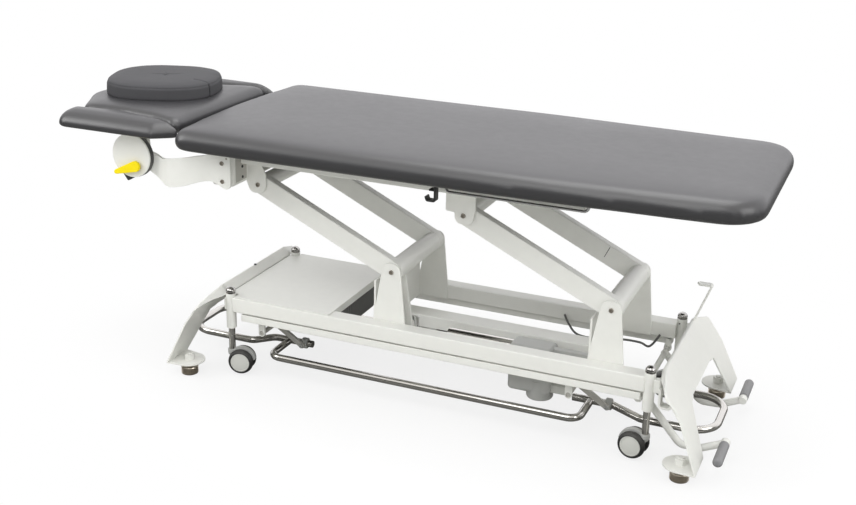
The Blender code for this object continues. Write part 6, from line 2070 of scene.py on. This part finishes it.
    def _pad(self, shop: Workshop, node: str, name: str, voxel: float, limit: float, body: str, finish: Finish,
             dress=None, form: bpy.types.Mesh | None = None, passes: int = 5) -> None:
        """Make one padded piece.

        Args:
            shop: where the piece goes.
            node: the CAD node it grows from.
            name: the piece's name.
            voxel: the size of its cells.
            limit: how far a point may move.
            body: the body that carries it.
            finish: its finish.
            dress: a function that sews details into the mesh, if there is one.
            form: the form to start from, if it isn't the CAD node's.
            passes: how often the form is smoothed.
        """
        holder = show(name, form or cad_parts[node].data.copy())
        even = holder.modifiers.new("even", "REMESH")
        even.mode = "VOXEL"
        even.voxel_size = voxel
        self._settle(holder)
        bm = bmesh.new()
        bm.from_mesh(holder.data)
        Stock.smooth(bm, passes)
        bm.to_mesh(holder.data)
        bm.free()
        self._inflate(holder, limit)
        finer = holder.modifiers.new("finer", "SUBSURF")
        finer.levels = finer.render_levels = 1
        self._settle(holder)
        if dress is not None:
            dress(holder.data)
        holder.data.shade_smooth()
        shop.bind(holder, finish, body, (node,))

    @staticmethod
    def _settle(holder: bpy.types.Object) -> None:
        """Apply an object's modifiers.

        Args:
            holder: the object.
        """
        bpy.context.view_layer.update()
        result = holder.evaluated_get(bpy.context.evaluated_depsgraph_get())
        mesh = bpy.data.meshes.new_from_object(result)
        old = holder.data
        holder.modifiers.clear()
        holder.data = mesh
        bpy.data.meshes.remove(old)

    def _inflate(self, holder: bpy.types.Object, limit: float) -> None:
        """Press the cover out from inside, keep every point within a limit of its start, and even out the wrinkles.

        Args:
            holder: the object.
            limit: how far a point may move.
        """
        mesh = holder.data
        start = [v.co.copy() for v in mesh.vertices]
        floor = min(p.z for p in start)
        held = holder.vertex_groups.new(name="held")
        held.add([i for i, p in enumerate(start) if p.z < floor + self.held], 1.0, "REPLACE")
        cloth = holder.modifiers.new("cloth", "CLOTH")
        cloth.settings.use_pressure = True
        cloth.settings.uniform_pressure_force = self.pressure
        cloth.settings.vertex_group_mass = "held"
        cloth.settings.quality = self.quality
        cloth.settings.tension_stiffness = self.stretch
        cloth.settings.compression_stiffness = self.stretch
        cloth.settings.bending_stiffness = self.bending
        cloth.settings.effector_weights.gravity = 0.0
        cloth.point_cache.frame_start = 1
        cloth.point_cache.frame_end = self.frames
        scene = bpy.context.scene
        for number in range(1, self.frames + 1):
            scene.frame_set(number)
        result = holder.evaluated_get(bpy.context.evaluated_depsgraph_get())
        ends = [v.co.copy() for v in result.data.vertices]
        holder.modifiers.clear()
        holder.vertex_groups.clear()
        scene.frame_set(1)
        bm = bmesh.new()
        bm.from_mesh(mesh)
        for vert, before, after in zip(bm.verts, start, ends):
            step = after - before
            vert.co = step * min(1.0, limit / max(step.length, 1e-9))
        Stock.smooth(bm, self.ease)
        for vert, before, moved in zip(mesh.vertices, start, bm.verts):
            vert.co = before + moved.co
        bm.free()
        LOG.info("inflated %s by up to %.4f", holder.name, limit)

    @staticmethod
    def _tuft(mesh: bpy.types.Mesh) -> None:
        """Sew a tuft with its creases, a slit in the nose and a seam into the pillow.

        Args:
            mesh: the pillow's mesh.
        """
        shift = Vector(L.shift).to_2d()
        tuft = Vector((-0.968, 0.036)) + shift
        slit = Vector((-0.825, 0.014)) + shift
        creases = [(Vector((math.cos(a), math.sin(a))), reach)
                   for a, reach in ((0.5, 0.060), (2.2, 0.045), (3.6, 0.055), (5.2, 0.040))]
        normals = [v.normal.copy() for v in mesh.vertices]
        for vert, normal in zip(mesh.vertices, normals):
            flat = vert.co.to_2d()
            depth = 0.0
            if vert.co.z > 0.775 and normal.z > 0.5:
                away = flat - tuft
                depth += 0.004 * math.exp(-((away.length / 0.008) ** 2))
                for way, reach in creases:
                    run = away.dot(way)
                    if 0.0 < run < reach:
                        off = (away - way * run).length
                        depth += 0.0030 * (1.0 - run / reach) * math.exp(-((off / 0.0035) ** 2))
            side = flat - slit
            if side.length < 0.030:
                depth += 0.0090 * math.exp(-((side.y / 0.0026) ** 2)) * (1.0 if normal.z < 0.6 else 0.5)
            if normal.z < 0.75:
                depth += 0.0014 * math.exp(-(((vert.co.z - 0.8050) / 0.0024) ** 2))
            vert.co -= normal * depth


@dataclass(frozen=True)
class Lamp:
    """One soft round light: where it hangs, what it looks at, its width and its power."""

    name: str
    place: Point
    target: Point
    size: float
    power: float

    def hang(self) -> None:
        """Put the light into the scene."""
        data = bpy.data.lights.new(self.name, "AREA")
        data.shape = "DISK"
        data.size = self.size
        data.energy = self.power
        way = Vector(self.target) - Vector(self.place)
        turn = way.to_track_quat("-Z", "Y").to_matrix().to_4x4()
        show(self.name, data).matrix_world = Matrix.Translation(self.place) @ turn


@dataclass
class Studio:
    """Camera, lights, white floor and world. The camera's values were fitted to the photograph."""

    yaw: float = 0.3894
    pitch: float = 0.3472
    roll: float = 0.0247
    eye: Point = (1.1655, -3.0421, 1.5879)
    focal_px: float = 1225.0535
    photo_px: float = 856.0
    sensor: float = 36.0
    lamps: tuple = (
        Lamp("key", (0.2, -3.0, 3.1), (0.1, 0.0, 0.30), 2.6, 40.0),
        Lamp("top", (0.3, 0.2, 3.6), (0.1, 0.0, 0.5), 3.0, 70.0),
        Lamp("right", (3.6, -0.9, 1.9), (0.5, 0.0, 0.25), 2.2, 40.0),
        Lamp("left", (-3.0, -1.8, 2.2), (-0.3, 0.0, 0.4), 1.8, 46.0),
    )
    floor_half: float = 16.0
    floor_seen: tuple = (0.82, 0.82, 0.82, 1.0)
    floor_bounce: tuple = (0.52, 0.52, 0.50, 1.0)
    floor_mirrored: tuple = (0.22, 0.22, 0.21, 1.0)
    shadow_half: Flat = (1.15, 0.62)
    shadow_fade: tuple = (0.70, 1.25, 0.80, 1.0)
    soft_colour: tuple = (1.0, 1.0, 0.99, 1.0)
    soft_strength: float = 0.68
    bands: tuple = ((0.0, 0.22), (0.08, 0.05), (0.34, 0.06), (0.46, 0.85), (0.80, 1.15), (1.0, 0.95))
    band_tint: Point = (1.0, 0.985, 0.955)
    wall_colour: tuple = (1.35, 1.34, 1.36, 1.0)
    wall_rise: Flat = (0.10, 0.60)

    def build(self) -> None:
        """Set up everything round the object."""
        self._camera()
        self._floor()
        self._world()
        for lamp in self.lamps:
            lamp.hang()
        bpy.context.scene.view_settings.view_transform = "Standard"

    def _camera(self) -> None:
        """Put the camera where the photograph was taken from."""
        level = math.cos(self.pitch)
        ahead = Vector((-math.sin(self.yaw) * level, math.cos(self.yaw) * level, -math.sin(self.pitch)))
        right = Vector((math.cos(self.yaw), math.sin(self.yaw), 0.0))
        up = right.cross(ahead)
        across = right * math.cos(self.roll) + up * math.sin(self.roll)
        over = up * math.cos(self.roll) - right * math.sin(self.roll)
        data = bpy.data.cameras.new("photo_camera")
        data.sensor_width = self.sensor
        data.lens = self.sensor * self.focal_px / self.photo_px
        camera = show("photo_camera", data)
        turn = Matrix((across, over, -ahead)).transposed().to_4x4()
        camera.matrix_world = Matrix.Translation(Vector(self.eye) + Vector(L.shift)) @ turn
        bpy.context.scene.camera = camera

    def _floor(self) -> None:
        """Lay a floor that the camera sees as white with a faint shadow, and that throws little light back up."""
        bm = bmesh.new()
        bmesh.ops.create_grid(bm, x_segments=1, y_segments=1, size=self.floor_half)
        mesh = Stock.mesh(bm, "studio_floor")
        material = bpy.data.materials.new("studio_white")
        material.use_nodes = True
        nodes = Nodes(material.node_tree)
        nodes.tree.nodes.clear()
        path = nodes.add("LightPath")
        seen = path.outputs["Is Camera Ray"]
        bounce = nodes.mix(path.outputs["Is Glossy Ray"], self.floor_bounce, self.floor_mirrored)
        matt = nodes.add("BsdfDiffuse", {"Color": nodes.mix(seen, bounce, self.floor_seen)})
        glow = nodes.add("Emission", {"Strength": 1.0})
        long, wide = self.shadow_half
        coords = nodes.add("TexCoord").outputs["Object"]
        oval = {0: coords, 1: (1 / long, 1 / wide, 0.0), 2: (-L.shift[0] / long, 0.0, 0.0)}
        near = nodes.add("VectorMath", oval, operation="MULTIPLY_ADD")
        far = nodes.add("VectorMath", {0: near.outputs["Vector"]}, operation="LENGTH").outputs["Value"]
        share = nodes.math("MULTIPLY", nodes.ramp(far, *self.shadow_fade), seen)
        mixed = nodes.add("MixShader", {0: share, 1: matt.outputs[0], 2: glow.outputs[0]})
        nodes.add("OutputMaterial", {"Surface": mixed.outputs[0]})
        mesh.materials.append(material)
        floor = show("studio_floor", mesh)

    def _world(self) -> None:
        """Make a world that is white to the camera, soft to diffuse rays and banded to glossy ones."""
        world = bpy.data.worlds.new("studio_world")
        bpy.context.scene.world = world
        world.use_nodes = True
        nodes = Nodes(world.node_tree)
        nodes.tree.nodes.clear()
        split = nodes.add("SeparateXYZ", {0: nodes.add("TexCoord").outputs["Generated"]})
        ramp = nodes.add("ValToRGB", {0: split.outputs["Z"]})
        while len(ramp.color_ramp.elements) < len(self.bands):
            ramp.color_ramp.elements.new(0.5)
        for element, (place, value) in zip(ramp.color_ramp.elements, self.bands):
            element.position = place
            element.color = (*(value * part for part in self.band_tint), 1.0)
        wall = nodes.mix(nodes.ramp(split.outputs["Y"], *self.wall_rise), ramp.outputs[0], self.wall_colour)
        soft = nodes.add("Background", {"Color": self.soft_colour, "Strength": self.soft_strength})
        bands = nodes.add("Background", {"Color": wall})
        white = nodes.add("Background", {"Color": (1.0, 1.0, 1.0, 1.0), "Strength": 1.0})
        path = nodes.add("LightPath")
        first = nodes.add("MixShader", {0: path.outputs["Is Glossy Ray"], 1: soft.outputs[0], 2: bands.outputs[0]})
        second = nodes.add("MixShader", {0: path.outputs["Is Camera Ray"], 1: first.outputs[0], 2: white.outputs[0]})
        nodes.add("OutputWorld", {"Surface": second.outputs[0]})


@dataclass
class TreatmentTable:
    """The whole object, one sub-assembly after another."""

    headings: dict = field(default_factory=lambda: {"near_head": 14.0, "near_foot": 172.0,
                                                    "far_head": 10.0, "far_foot": 176.0})
    foot_plate: dict = field(default_factory=lambda: {"flange_x": 0.6490, "flange_top": 0.2560,
                                                      "flange_low": 0.1720})

    def build(self) -> None:
        """Make every piece and bind it to the frame."""
        shop = Workshop()
        BaseFrame().build(shop)
        for end, direction in Ends:
            sizes = {} if end == "head" else self.foot_plate
            EndPlate(end, direction, **sizes).build(shop)
        for (end, _), lower, upper in zip(Ends, L.lift_pivots, L.table_pivots):
            Tower(end, lower).build(shop)
            LiftArm(end, lower, upper).build(shop)
        Drive().build(shop)
        for end, direction in Ends:
            for side, sign in Sides:
                name = f"{side}_{end}"
                Castor(name, direction, sign, self.headings[name]).build(shop)
        FootBar().build(shop)
        Pedals().build(shop)
        TableFrame().build(shop)
        for side, sign in Sides:
            HeadSupport(side, sign).build(shop)
        Upholstery().build(shop)
        LOG.info("%d pieces", shop.count)


def main() -> None:
    """Build the object and its studio."""
    TreatmentTable().build()
    Studio().build()


if __name__ == "__main__":
    main()
